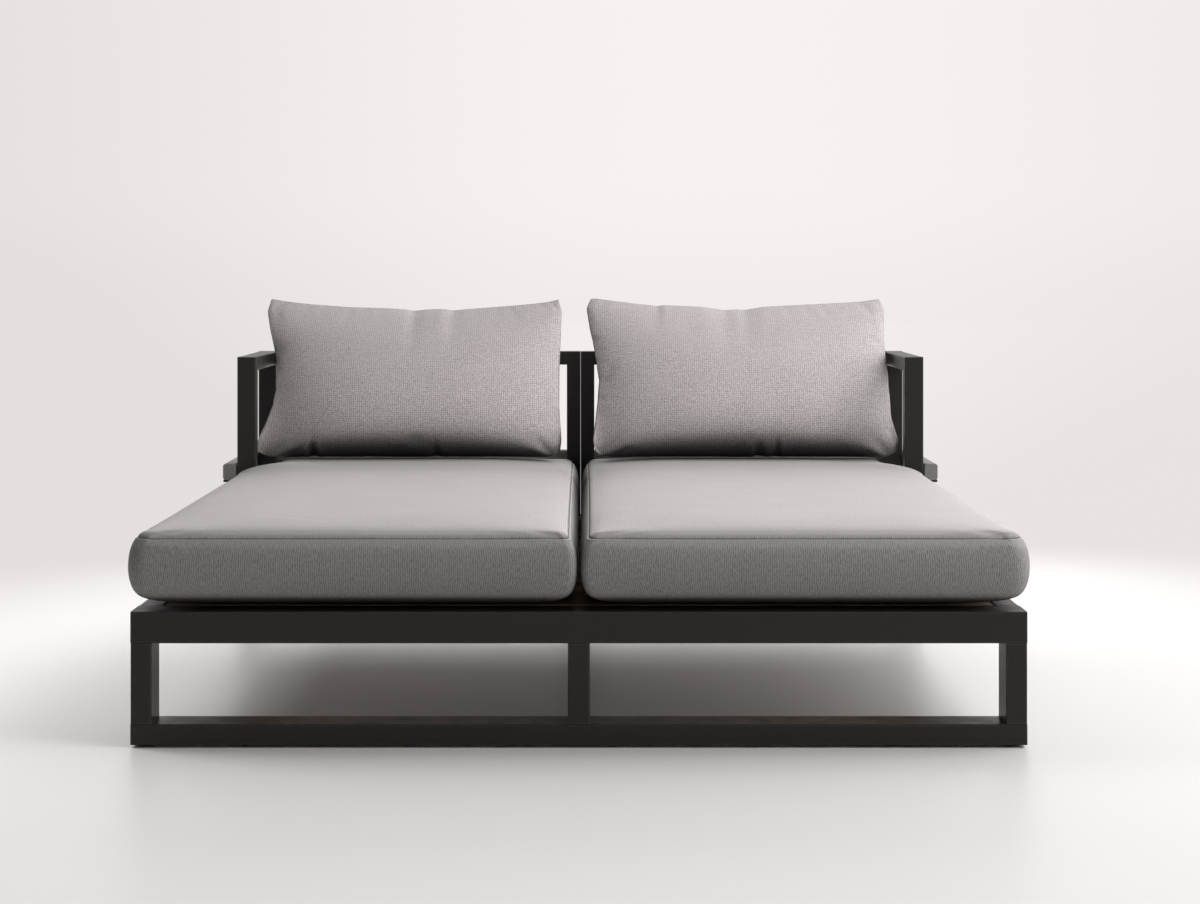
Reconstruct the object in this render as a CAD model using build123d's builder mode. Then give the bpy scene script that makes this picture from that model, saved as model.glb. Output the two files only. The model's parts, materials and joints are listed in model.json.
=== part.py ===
"""Double chaise lounger: an aluminium sled base, two arm-and-back frames and loose cushions.

Millimetres. X runs across the seat, Y from the foot end to the back, Z up from the floor.
"""

import os
from math import cos, radians, sin, sqrt

from build123d import *

os.makedirs("parts", exist_ok=True)

# How closely things sit
seat_gap = 0.3
screw_clearance = 0.06
hole_overrun = 10

# Small screws, inserts and their holes have this many sides
small_sides = 8

# Aluminium tube
tube_wall = 2
tube_radius = 3

# Base
base_width = 1700
base_length = 1690
base_top = 258
front_rail_deep = 80
front_rail_tall = 60
floor_rail_tall = 40
front_leg_wide = 40
centre_leg_wide = 42
side_rail_wide = 46
rear_rail_deep = 40
centre_beam_wide = 60
centre_beam_tall = 40

# Arms and back
arm_depth = 400
arm_height = 687
arm_rail_tall = 35
post_deep = 40
mid_post_wide = 36
mid_post_gap = 0.6

# Grey rails that run round the outside of the posts
outer_rail_thick = 32
outer_rail_tall = 40
outer_rail_radius = 7
outer_rail_wall = 2.5
outer_rail_top = 423
hanger_thick = 3
hanger_foot = 6
hanger_wide = 30

# Deck
deck_board_count = 10
deck_board_thick = 16
deck_board_gap = 24
deck_edge_gap = 4
deck_board_edge = 2.5
ledge_leg = 22
ledge_thick = 3

# Corner brackets and their bolts
bracket_leg = 42
bracket_tall = 34
bracket_thick = 4
bracket_drop = 20
bracket_hole_inset = 26
bolt_radius = 4
bolt_head_radius = 7
bolt_head_tall = 4
bolt_socket_radius = 2.5
bolt_socket_sides = 6
bolt_socket_depth = 2.4
bracket_bolt_grip = 10
post_bolt_grip = 52
post_bolt_drop = 14
post_bolt_spread = 30

# Screws
deck_screw_radius = 2.1
deck_screw_head_radius = 4.2
deck_screw_head_tall = 2.4
deck_screw_length = 19
hanger_screw_radius = 2.5
hanger_screw_head_radius = 4.6
hanger_screw_head_tall = 2.6
hanger_screw_length = 9
hanger_screw_height = 20

# Levelling glides
pad_height = 4.7
pad_radius = 19
pad_edge = 1.2
glide_stem_radius = 4
glide_stem_length = 26
insert_radius = 7
insert_length = 18

# Seat cushions
seat_front_bulge = 6
seat_side_bulge = 13
seat_middle_gap = 1.5
seat_post_gap = 4
seat_back_gap = 5
seat_front_corner_radius = 52
seat_back_corner_radius = 34
seat_notch_radius = 14
corner_tighten_share = 0.6
seat_foot_radius = 75
seat_seam_height = 140
seat_seam_inset = 10.5
seat_waist_share = 0.25
seat_edge_radius = 14
seat_crown_reach = 230
seat_crown_rise = 12.5
foot_angles = (0, 15, 30, 45, 60, 75, 90)
edge_angles = (18, 40, 62, 84)
crown_shares = (0.14, 0.34, 0.6, 1)

# Back pillows
pillow_height = 459
pillow_thick = 166
pillow_lean = 22
pillow_seam_thick = 8
pillow_end_thick = 26
pillow_top_draw = 24
pillow_bottom_draw = 9
pillow_side_draw = 12
pillow_seat_press = 14
pillow_arm_gaps = {"left": 2, "right": 6}
pillow_middle_gaps = {"left": 38, "right": 34}
pillow_end_power = 4
pillow_section_angles = (-90, -75, -60, -45, -30, -15, 0, 15, 30, 45, 60, 75, 90)

# Where things come together
half_width = base_width / 2
frame_bottom = pad_height + seat_gap
base_rail_bottom = base_top - front_rail_tall
overall_length = seat_front_bulge + base_length + hanger_thick + outer_rail_thick
front_y = seat_front_bulge - overall_length / 2
front_rail_back_y = front_y + front_rail_deep
back_face_y = front_y + base_length
arm_front_y = back_face_y - arm_depth
arm_post_back_y = arm_front_y + post_deep
back_front_y = back_face_y - post_deep
rear_rail_front_y = back_front_y - rear_rail_deep
inner_x = half_width - side_rail_wide
post_x = half_width - side_rail_wide / 2
arm_rail_bottom = arm_height - arm_rail_tall
mid_post_x = (mid_post_gap + mid_post_wide) / 2
mid_post_edge_x = mid_post_gap / 2 + mid_post_wide
deck_top = base_top
deck_under = deck_top - deck_board_thick
rear_leg_y = rear_rail_front_y + rear_rail_deep / 2
sides = (("left", -1), ("right", 1))


def box_tube(plane, wide, tall, run, start_cap=False, end_cap=False, holes=(),
             radius=tube_radius, wall=tube_wall):
    """A hollow tube along the plane's normal, with welded caps and drilled holes."""
    hollow_start = wall if start_cap else -hole_overrun
    hollow_end = run - wall if end_cap else run + hole_overrun
    with BuildPart() as tube:
        with BuildSketch(plane):
            RectangleRounded(wide, tall, radius)
        extrude(amount=run)
        with BuildSketch(plane.offset(hollow_start)):
            Rectangle(wide - 2 * wall, tall - 2 * wall)
        extrude(amount=hollow_end - hollow_start, mode=Mode.SUBTRACT)
        for hole_plane, hole_radius, hole_depth in holes:
            with BuildSketch(hole_plane):
                RegularPolygon(hole_radius, small_sides)
            extrude(amount=hole_depth, mode=Mode.SUBTRACT)
    return tube


def facing_x(x, y, z, direction=1):
    """A plane that looks along X, with its own x along Y."""
    return Plane(origin=(x, y, z), x_dir=(0, 1, 0), z_dir=(direction, 0, 0))


def facing_y(x, y, z, direction=1):
    """A plane that looks along Y, with its own x along X."""
    return Plane(origin=(x, y, z), x_dir=(1, 0, 0), z_dir=(0, direction, 0))


def facing_z(x, y, z, direction=1):
    """A plane that looks along Z, with its own x along X."""
    return Plane(origin=(x, y, z), x_dir=(1, 0, 0), z_dir=(0, 0, direction))


# Holes for the threaded inserts, from under the tubes
insert_hole_radius = insert_radius + screw_clearance
insert_hole_depth = tube_wall + hole_overrun
front_glide_x = half_width - front_leg_wide / 2
front_glide_y = front_y + front_rail_deep / 2
glide_places = {
    "front_left": (-front_glide_x, front_glide_y),
    "front_right": (front_glide_x, front_glide_y),
    "arm_left": (-post_x, arm_front_y + post_deep / 2),
    "arm_right": (post_x, arm_front_y + post_deep / 2),
    "rear_left": (-post_x, back_front_y + post_deep / 2),
    "rear_right": (post_x, back_front_y + post_deep / 2),
    "rear_centre": (0, rear_leg_y),
}


def insert_hole(place):
    """The hole in the closed lower wall over one glide."""
    x, y = glide_places[place]
    return facing_z(x, y, frame_bottom - hole_overrun), insert_hole_radius, insert_hole_depth


# Front sled: two rails across with three legs between them
bolt_hole_radius = bolt_radius + screw_clearance
bracket_z = deck_under - bracket_drop
bracket_inset_x = inner_x - bracket_hole_inset

front_rail_holes = [
    (facing_y(sign * bracket_inset_x, front_rail_back_y + hole_overrun, bracket_z, -1),
     bolt_hole_radius, hole_overrun * 2)
    for name, sign in sides
]
front_rail_mid_y = front_y + front_rail_deep / 2
front_top_rail = box_tube(
    facing_x(-half_width, front_rail_mid_y, base_top - front_rail_tall / 2),
    front_rail_deep, front_rail_tall, base_width, True, True, front_rail_holes)
front_top_rail.part.label = "front_top_rail"
export_step(front_top_rail.part, "parts/front_top_rail.step")

front_bottom_rail = box_tube(
    facing_x(-half_width, front_rail_mid_y, frame_bottom + floor_rail_tall / 2),
    front_rail_deep, floor_rail_tall, base_width, True, True,
    [insert_hole("front_left"), insert_hole("front_right")])
front_bottom_rail.part.label = "front_bottom_rail"
export_step(front_bottom_rail.part, "parts/front_bottom_rail.step")

front_leg_bottom = frame_bottom + floor_rail_tall
front_leg_places = (
    ("left", -front_glide_x, front_leg_wide),
    ("centre", 0, centre_leg_wide),
    ("right", front_glide_x, front_leg_wide),
)
for name, leg_x, leg_wide in front_leg_places:
    front_leg = box_tube(
        facing_z(leg_x, front_rail_mid_y, front_leg_bottom),
        leg_wide, front_rail_deep, base_rail_bottom - front_leg_bottom)
    front_leg.part.label = f"front_leg_{name}"
    export_step(front_leg.part, f"parts/front_leg_{name}.step")

# Side rails, and the lower rails between the arm posts
rail_mid_z = base_top - front_rail_tall / 2
front_bracket_y = front_rail_back_y + bracket_hole_inset
rear_bracket_y = rear_rail_front_y - bracket_hole_inset
for name, sign in sides:
    side_rail = box_tube(
        facing_y(sign * post_x, front_rail_back_y, rail_mid_z),
        side_rail_wide, front_rail_tall, arm_front_y - front_rail_back_y, holes=[
            (facing_x(sign * (inner_x - hole_overrun), front_bracket_y, bracket_z, sign),
             bolt_hole_radius, hole_overrun * 2),
        ])
    side_rail.part.label = f"side_rail_{name}"
    export_step(side_rail.part, f"parts/side_rail_{name}.step")

    arm_lower_rail = box_tube(
        facing_y(sign * post_x, arm_post_back_y, rail_mid_z),
        side_rail_wide, front_rail_tall, back_front_y - arm_post_back_y, holes=[
            (facing_x(sign * (inner_x - hole_overrun), rear_bracket_y, bracket_z, sign),
             bolt_hole_radius, hole_overrun * 2),
        ])
    arm_lower_rail.part.label = f"arm_lower_rail_{name}"
    export_step(arm_lower_rail.part, f"parts/arm_lower_rail_{name}.step")

# Rear rail, its centre leg and the beam under the middle of the deck
post_bolt_x = mid_post_x
post_bolts_z = (base_top - post_bolt_drop, base_top - post_bolt_drop - post_bolt_spread)
rear_rail_holes = [
    (facing_y(sign * bracket_inset_x, rear_rail_front_y - hole_overrun, bracket_z),
     bolt_hole_radius, hole_overrun * 2)
    for name, sign in sides
]
rear_rail_holes += [
    (facing_y(sign * post_bolt_x, back_front_y + hole_overrun, z, -1),
     bolt_hole_radius, hole_overrun * 2)
    for name, sign in sides
    for z in post_bolts_z
]
rear_rail = box_tube(
    facing_x(-inner_x, rear_leg_y, rail_mid_z),
    rear_rail_deep, front_rail_tall, 2 * inner_x, holes=rear_rail_holes)
rear_rail.part.label = "rear_rail"
export_step(rear_rail.part, "parts/rear_rail.step")

rear_leg_centre = box_tube(
    facing_z(0, rear_leg_y, frame_bottom),
    centre_leg_wide, rear_rail_deep, base_rail_bottom - frame_bottom,
    start_cap=True, holes=[insert_hole("rear_centre")])
rear_leg_centre.part.label = "rear_leg_centre"
export_step(rear_leg_centre.part, "parts/rear_leg_centre.step")

centre_beam = box_tube(
    facing_y(0, front_rail_back_y, deck_under - centre_beam_tall / 2),
    centre_beam_wide, centre_beam_tall, rear_rail_front_y - front_rail_back_y)
centre_beam.part.label = "centre_beam"
export_step(centre_beam.part, "parts/centre_beam.step")

# Where the deck boards lie
deck_start_y = front_rail_back_y + deck_edge_gap
deck_run = rear_rail_front_y - deck_edge_gap - deck_start_y
deck_board_pitch = (deck_run + deck_board_gap) / deck_board_count
deck_board_wide = deck_board_pitch - deck_board_gap
deck_board_middles = [
    deck_start_y + deck_board_pitch * board + deck_board_wide / 2
    for board in range(deck_board_count)
]
deck_screw_x = inner_x - (ledge_leg + ledge_thick) / 2

# Angles on the side rails, which carry the ends of the deck boards
ledge_start_y = front_rail_back_y + bracket_leg + seat_gap
ledge_end_y = rear_rail_front_y - bracket_leg - seat_gap
for name, sign in sides:
    with BuildPart() as ledge:
        with BuildSketch(Plane(origin=(sign * inner_x, ledge_start_y, deck_under),
                               x_dir=(-sign, 0, 0), z_dir=(0, 1, 0))):
            with BuildLine():
                Polyline(
                    (0, 0),
                    (ledge_leg, 0),
                    (ledge_leg, -sign * ledge_thick),
                    (ledge_thick, -sign * ledge_thick),
                    (ledge_thick, -sign * ledge_leg),
                    (0, -sign * ledge_leg),
                    close=True)
            make_face()
        extrude(amount=ledge_end_y - ledge_start_y)
        with BuildSketch(*[
            facing_z(sign * deck_screw_x, board_y, deck_under + hole_overrun, -1)
            for board_y in deck_board_middles
        ]):
            RegularPolygon(deck_screw_radius + screw_clearance, small_sides)
        extrude(amount=ledge_thick + 2 * hole_overrun, mode=Mode.SUBTRACT)
    ledge.part.label = f"deck_ledge_{name}"
    export_step(ledge.part, f"parts/deck_ledge_{name}.step")

# Arm posts. The front ones stand the full height, the rear ones stop under the back rail
hanger_z = outer_rail_top - hanger_screw_height
screw_hole_radius = hanger_screw_radius + screw_clearance
arm_hanger_y = arm_front_y + post_deep / 2
back_hanger_y = back_front_y + post_deep / 2
for name, sign in sides:
    front_post = box_tube(
        facing_z(sign * post_x, arm_hanger_y, frame_bottom),
        side_rail_wide, post_deep, arm_height - frame_bottom, True, True, [
            insert_hole(f"arm_{name}"),
            (facing_x(sign * (half_width + hole_overrun), arm_hanger_y, hanger_z, -sign),
             screw_hole_radius, hole_overrun * 2),
        ])
    front_post.part.label = f"arm_front_post_{name}"
    export_step(front_post.part, f"parts/arm_front_post_{name}.step")

    rear_post = box_tube(
        facing_z(sign * post_x, back_hanger_y, frame_bottom),
        side_rail_wide, post_deep, arm_rail_bottom - frame_bottom, True, False, [
            insert_hole(f"rear_{name}"),
            (facing_x(sign * (half_width + hole_overrun), back_hanger_y, hanger_z, -sign),
             screw_hole_radius, hole_overrun * 2),
            (facing_y(sign * post_x, back_face_y + hole_overrun, hanger_z, -1),
             screw_hole_radius, hole_overrun * 2),
        ])
    rear_post.part.label = f"arm_rear_post_{name}"
    export_step(rear_post.part, f"parts/arm_rear_post_{name}.step")

    arm_top_rail = box_tube(
        facing_y(sign * post_x, arm_post_back_y, arm_height - arm_rail_tall / 2),
        side_rail_wide, arm_rail_tall, back_front_y - arm_post_back_y)
    arm_top_rail.part.label = f"arm_top_rail_{name}"
    export_step(arm_top_rail.part, f"parts/arm_top_rail_{name}.step")

    back_top_rail = box_tube(
        facing_x(sign * mid_post_edge_x, back_hanger_y, arm_height - arm_rail_tall / 2, sign),
        post_deep, arm_rail_tall, half_width - mid_post_edge_x, False, True)
    back_top_rail.part.label = f"back_top_rail_{name}"
    export_step(back_top_rail.part, f"parts/back_top_rail_{name}.step")

    mid_post = box_tube(
        facing_z(sign * mid_post_x, back_hanger_y, base_rail_bottom),
        mid_post_wide, post_deep, arm_height - base_rail_bottom, True, True, [
            (facing_y(sign * mid_post_x, back_face_y + hole_overrun, hanger_z, -1),
             screw_hole_radius, hole_overrun * 2),
            (facing_y(sign * post_bolt_x, back_face_y + hole_overrun, post_bolts_z[0], -1),
             bolt_hole_radius, post_deep + 2 * hole_overrun),
            (facing_y(sign * post_bolt_x, back_face_y + hole_overrun, post_bolts_z[1], -1),
             bolt_hole_radius, post_deep + 2 * hole_overrun),
        ])
    mid_post.part.label = f"mid_post_{name}"
    export_step(mid_post.part, f"parts/mid_post_{name}.step")

# Grey rails outside the posts, on small black hangers
outer_rail_z = outer_rail_top - outer_rail_tall / 2
outer_rail_x = half_width + hanger_thick + outer_rail_thick / 2
outer_rail_y = back_face_y + hanger_thick + outer_rail_thick / 2
head_hole_radius = hanger_screw_head_radius + seat_gap
side_rail_run = back_face_y + hanger_thick + outer_rail_thick - arm_front_y
back_rail_run = half_width + hanger_thick - mid_post_gap / 2
hanger_bottom = outer_rail_top - outer_rail_tall - hanger_foot
hanger_tall = outer_rail_tall + hanger_foot - outer_rail_radius
for name, sign in sides:
    outer_side_rail = box_tube(
        facing_y(sign * outer_rail_x, arm_front_y, outer_rail_z),
        outer_rail_thick, outer_rail_tall, side_rail_run, True, True, [
            (facing_x(sign * (half_width - hole_overrun), y, hanger_z, sign),
             head_hole_radius, hole_overrun * 2)
            for y in (arm_hanger_y, back_hanger_y)
        ], outer_rail_radius, outer_rail_wall)
    outer_side_rail.part.label = f"outer_side_rail_{name}"
    export_step(outer_side_rail.part, f"parts/outer_side_rail_{name}.step")

    outer_back_rail = box_tube(
        facing_x(sign * mid_post_gap / 2, outer_rail_y, outer_rail_z, sign),
        outer_rail_thick, outer_rail_tall, back_rail_run, True, False, [
            (facing_y(sign * x, back_face_y - hole_overrun, hanger_z),
             head_hole_radius, hole_overrun * 2)
            for x in (mid_post_x, post_x)
        ], outer_rail_radius, outer_rail_wall)
    outer_back_rail.part.label = f"outer_back_rail_{name}"
    export_step(outer_back_rail.part, f"parts/outer_back_rail_{name}.step")

    hanger_planes = [
        facing_x(sign * half_width, arm_hanger_y, hanger_bottom, sign),
        facing_x(sign * half_width, back_hanger_y, hanger_bottom, sign),
        facing_y(sign * mid_post_x, back_face_y, hanger_bottom),
        facing_y(sign * post_x, back_face_y, hanger_bottom),
    ]
    with BuildPart() as rail_hangers:
        for hanger_plane in hanger_planes:
            # the leg stands on the post, and the foot reaches out under the rail
            for leg_low, leg_high, reach in (
                (hanger_bottom, hanger_bottom + hanger_tall, hanger_thick),
                (hanger_bottom, hanger_bottom + hanger_foot, hanger_thick + outer_rail_thick),
            ):
                middle_z = (leg_low + leg_high) / 2 - hanger_bottom
                leg_plane = Plane(
                    origin=hanger_plane.origin + Vector(0, 0, middle_z),
                    x_dir=hanger_plane.x_dir, z_dir=hanger_plane.z_dir)
                with BuildSketch(leg_plane):
                    Rectangle(hanger_wide, leg_high - leg_low)
                extrude(amount=reach)
            screw_plane = Plane(
                origin=hanger_plane.origin + Vector(0, 0, hanger_z - hanger_bottom),
                x_dir=hanger_plane.x_dir, z_dir=hanger_plane.z_dir)
            with BuildSketch(screw_plane.offset(-hole_overrun)):
                RegularPolygon(screw_hole_radius, small_sides)
            extrude(amount=hole_overrun * 2, mode=Mode.SUBTRACT)
    rail_hangers.part.label = f"rail_hangers_{name}"
    export_step(rail_hangers.part, f"parts/rail_hangers_{name}.step")

hanger_screw_planes = [
    plane
    for name, sign in sides
    for plane in (
        facing_x(sign * (half_width + hanger_thick), arm_hanger_y, hanger_z, sign),
        facing_x(sign * (half_width + hanger_thick), back_hanger_y, hanger_z, sign),
        facing_y(sign * mid_post_x, back_face_y + hanger_thick, hanger_z),
        facing_y(sign * post_x, back_face_y + hanger_thick, hanger_z),
    )
]
with BuildPart() as hanger_screws:
    with BuildSketch(*hanger_screw_planes):
        RegularPolygon(hanger_screw_head_radius, small_sides)
    extrude(amount=hanger_screw_head_tall)
    with BuildSketch(*hanger_screw_planes):
        RegularPolygon(hanger_screw_radius, small_sides)
    extrude(amount=-hanger_screw_length)
hanger_screws.part.label = "hanger_screws"
export_step(hanger_screws.part, "parts/hanger_screws.step")

# Deck boards, one screw into the ledge at each end
deck_board_half = inner_x - deck_edge_gap
deck_screw_planes = []
for board, board_y in enumerate(deck_board_middles, 1):
    board_screws = [facing_z(sign * deck_screw_x, board_y, deck_top) for name, sign in sides]
    deck_screw_planes += board_screws
    with BuildPart() as deck_board:
        with BuildSketch(facing_x(-deck_board_half, board_y, deck_top - deck_board_thick / 2)) as board_end:
            Rectangle(deck_board_wide, deck_board_thick)
            chamfer(board_end.vertices(), deck_board_edge)
        extrude(amount=2 * deck_board_half)
        with BuildSketch(*board_screws):
            RegularPolygon(deck_screw_head_radius + screw_clearance, small_sides)
        extrude(amount=-deck_screw_head_tall, mode=Mode.SUBTRACT)
        with BuildSketch(*board_screws):
            RegularPolygon(deck_screw_radius + screw_clearance, small_sides)
        extrude(amount=-deck_board_thick - hole_overrun, mode=Mode.SUBTRACT)
    deck_board.part.label = f"deck_board_{board:02d}"
    export_step(deck_board.part, f"parts/deck_board_{board:02d}.step")

with BuildPart() as deck_screws:
    with BuildSketch(*deck_screw_planes):
        RegularPolygon(deck_screw_head_radius, small_sides)
    extrude(amount=-deck_screw_head_tall)
    with BuildSketch(*deck_screw_planes):
        RegularPolygon(deck_screw_radius, small_sides)
    extrude(amount=-deck_screw_length)
deck_screws.part.label = "deck_screws"
export_step(deck_screws.part, "parts/deck_screws.step")

# Corner brackets that bolt the sled and the rear rail to the side rails
bolt_planes = []
for name, sign in sides:
    for end, corner_y, inward in (("front", front_rail_back_y, 1), ("rear", rear_rail_front_y, -1)):
        corner_x = sign * inner_x
        leg_planes = [
            facing_y(corner_x - sign * bracket_hole_inset, corner_y + inward * bracket_thick,
                     bracket_z, inward),
            facing_x(corner_x - sign * bracket_thick, corner_y + inward * bracket_hole_inset,
                     bracket_z, -sign),
        ]
        bolt_planes += leg_planes
        with BuildPart() as corner_bracket:
            with BuildSketch(facing_z(corner_x, corner_y, bracket_z - bracket_tall / 2)):
                with BuildLine():
                    Polyline(
                        (0, 0),
                        (-sign * bracket_leg, 0),
                        (-sign * bracket_leg, inward * bracket_thick),
                        (-sign * bracket_thick, inward * bracket_thick),
                        (-sign * bracket_thick, inward * bracket_leg),
                        (0, inward * bracket_leg),
                        close=True)
                make_face()
            extrude(amount=bracket_tall)
            with BuildSketch(*leg_planes):
                RegularPolygon(bolt_hole_radius, small_sides)
            extrude(amount=-bracket_thick - hole_overrun, mode=Mode.SUBTRACT)
        corner_bracket.part.label = f"corner_bracket_{end}_{name}"
        export_step(corner_bracket.part, f"parts/corner_bracket_{end}_{name}.step")

post_bolt_planes = [
    facing_y(sign * post_bolt_x, back_face_y, z)
    for name, sign in sides
    for z in post_bolts_z
]
for node, planes, grip in (
    ("bracket_bolts", bolt_planes, bracket_bolt_grip),
    ("post_bolts", post_bolt_planes, post_bolt_grip),
):
    with BuildPart() as bolts:
        with BuildSketch(*planes):
            Circle(bolt_head_radius)
        extrude(amount=bolt_head_tall)
        with BuildSketch(*planes):
            RegularPolygon(bolt_radius, small_sides)
        extrude(amount=-grip)
        with BuildSketch(*[plane.offset(bolt_head_tall) for plane in planes]):
            RegularPolygon(bolt_socket_radius, bolt_socket_sides)
        extrude(amount=-bolt_socket_depth, mode=Mode.SUBTRACT)
    bolts.part.label = node
    export_step(bolts.part, f"parts/{node}.step")

# Threaded inserts pressed into the closed feet, and the glides that screw into them
insert_planes = [facing_z(x, y, frame_bottom) for x, y in glide_places.values()]
with BuildPart() as glide_inserts:
    with BuildSketch(*insert_planes):
        RegularPolygon(insert_radius, small_sides)
    extrude(amount=insert_length)
    with BuildSketch(*insert_planes):
        Circle(glide_stem_radius + screw_clearance)
    extrude(amount=insert_length, mode=Mode.SUBTRACT)
glide_inserts.part.label = "glide_inserts"
export_step(glide_inserts.part, "parts/glide_inserts.step")

for name, (glide_x, glide_y) in glide_places.items():
    with BuildPart() as glide:
        with BuildSketch(facing_z(glide_x, glide_y, 0)):
            Circle(pad_radius)
        extrude(amount=pad_height)
        chamfer(glide.edges().group_by(Axis.Z)[-1], pad_edge)
        with BuildSketch(facing_z(glide_x, glide_y, pad_height)):
            Circle(glide_stem_radius)
        extrude(amount=glide_stem_length)
    glide.part.label = f"glide_{name}"
    export_step(glide.part, f"parts/glide_{name}.step")

# Seat cushions: a boxed cushion that is notched round the arm posts
seat_bottom = deck_top + seat_gap
seat_inner_x = seat_middle_gap / 2
seat_outer_x = half_width + seat_side_bulge
seat_notch_x = inner_x - seat_post_gap
seat_notch_y = arm_front_y - seat_post_gap
seat_front_y = front_y - seat_front_bulge
seat_back_y = back_front_y - seat_back_gap

# how far each height of the cushion lies inside its widest line
seat_profile = [
    (seat_foot_radius * (1 - cos(radians(angle))), seat_foot_radius * (1 - sin(radians(angle))))
    for angle in foot_angles
]
seat_profile.append(((seat_foot_radius + seat_seam_height) / 2, seat_seam_inset * seat_waist_share))
edge_start = radians(edge_angles[0])
for angle in edge_angles:
    seat_profile.append((
        seat_seam_height + seat_edge_radius * (sin(radians(angle)) - sin(edge_start)),
        seat_seam_inset + seat_edge_radius * (cos(edge_start) - cos(radians(angle)))))
rim_height, rim_inset = seat_profile[-1]
for share in crown_shares:
    seat_profile.append((
        rim_height + seat_crown_rise * (1 - (1 - share) ** 2),
        rim_inset + seat_crown_reach * share))
seat_top_height, seat_top_inset = seat_profile[-1]

with BuildPart() as seat_cushion_right:
    for height, inset in seat_profile:
        tightened = 1 - corner_tighten_share * inset / seat_top_inset
        with BuildSketch(Plane.XY.offset(seat_bottom + height)) as seat_outline:
            with BuildLine():
                Polyline(
                    (seat_inner_x + inset, seat_front_y + inset),
                    (seat_outer_x - inset, seat_front_y + inset),
                    (seat_outer_x - inset, seat_notch_y - inset),
                    (seat_notch_x - inset, seat_notch_y - inset),
                    (seat_notch_x - inset, seat_back_y - inset),
                    (seat_inner_x + inset, seat_back_y - inset),
                    close=True)
            make_face()
            front_corners, notch_corners, back_corners = seat_outline.vertices().group_by(Axis.Y)
            inner_notch, outer_notch = notch_corners.sort_by(Axis.X)
            fillet(front_corners, seat_front_corner_radius * tightened)
            fillet([*back_corners, outer_notch], seat_back_corner_radius * tightened)
            fillet(inner_notch, seat_notch_radius)
    loft(ruled=True)
seat_cushion_right.part.label = "seat_cushion_right"
export_step(seat_cushion_right.part, "parts/seat_cushion_right.step")

with BuildPart() as seat_cushion_left:
    mirror(seat_cushion_right.part, about=Plane.YZ)
seat_cushion_left.part.label = "seat_cushion_left"
export_step(seat_cushion_left.part, "parts/seat_cushion_left.step")

# Back pillows: knife-edged, drawn in between the corners, leaning on the back rails
lean = radians(pillow_lean)
pillow_back = Vector(0, cos(lean), -sin(lean))
pillow_half_height = (pillow_height - pillow_top_draw - pillow_bottom_draw) / 2
pillow_belly = (pillow_thick - pillow_seam_thick) / 2
belly_radius = (pillow_half_height ** 2 + pillow_belly ** 2) / (2 * pillow_belly)
belly_set_back = belly_radius - pillow_thick / 2
pillow_seat_z = seat_bottom + seat_top_height
pillow_z = pillow_seat_z - pillow_seat_press + pillow_half_height * cos(lean)

# the middle of the belly's arc, and the corner or face of the back rail nearest to it
belly_z = pillow_z + belly_set_back * sin(lean)
rail_touch_z = min(max(belly_z, arm_rail_bottom + tube_radius), arm_height - tube_radius)
touch_reach = belly_radius + tube_radius + seat_gap
touch_y = sqrt(touch_reach ** 2 - (rail_touch_z - belly_z) ** 2)
pillow_y = back_front_y + tube_radius - touch_y + belly_set_back * cos(lean)

for name, sign in sides:
    pillow_outer_x = inner_x - pillow_arm_gaps[name]
    pillow_width = pillow_outer_x - pillow_middle_gaps[name]
    pillow_x = sign * (pillow_outer_x - pillow_width / 2)
    with BuildPart() as back_pillow:
        for angle in pillow_section_angles:
            share = sin(radians(angle))
            fullness_share = sqrt(1 - share ** pillow_end_power)
            half_seam = pillow_seam_thick / 2
            half_thick = (pillow_end_thick + (pillow_thick - pillow_end_thick) * fullness_share) / 2
            reach_up = pillow_half_height + pillow_top_draw * share ** 2
            reach_down = pillow_half_height + pillow_bottom_draw * share ** 2
            with BuildSketch(Plane(origin=(pillow_x + share * pillow_width / 2, pillow_y, pillow_z),
                                   x_dir=pillow_back, z_dir=(1, 0, 0))):
                with BuildLine():
                    ThreePointArc((-half_seam, -reach_down), (-half_thick, 0), (-half_seam, reach_up))
                    Line((-half_seam, reach_up), (half_seam, reach_up))
                    ThreePointArc((half_seam, reach_up), (half_thick, 0), (half_seam, -reach_down))
                    Line((half_seam, -reach_down), (-half_seam, -reach_down))
                make_face()
        loft(ruled=True)
        # the side edges are drawn in between the corners
        for side in (-1, 1):
            edge = Vector(pillow_x + side * pillow_width / 2, pillow_y, pillow_z)
            corner_y = pillow_height / 2 + hole_overrun
            with BuildSketch(Plane(origin=edge - pillow_back * pillow_thick,
                                   x_dir=(1, 0, 0), z_dir=pillow_back)):
                with BuildLine():
                    ThreePointArc((0, -corner_y), (-side * pillow_side_draw, 0), (0, corner_y))
                    Polyline((0, corner_y), (side * hole_overrun, corner_y),
                             (side * hole_overrun, -corner_y), (0, -corner_y))
                make_face()
            extrude(amount=2 * pillow_thick, mode=Mode.SUBTRACT)
        # it rests flat on the seat cushion
        with BuildSketch(facing_z(pillow_x, pillow_y, pillow_seat_z + seat_gap)):
            Rectangle(2 * pillow_width, 2 * pillow_height)
        extrude(amount=-pillow_height, mode=Mode.SUBTRACT)
    back_pillow.part.label = f"back_pillow_{name}"
    export_step(back_pillow.part, f"parts/back_pillow_{name}.step")
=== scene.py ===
import json
import math
import bpy
import numpy as np
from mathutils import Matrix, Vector, noise


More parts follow.
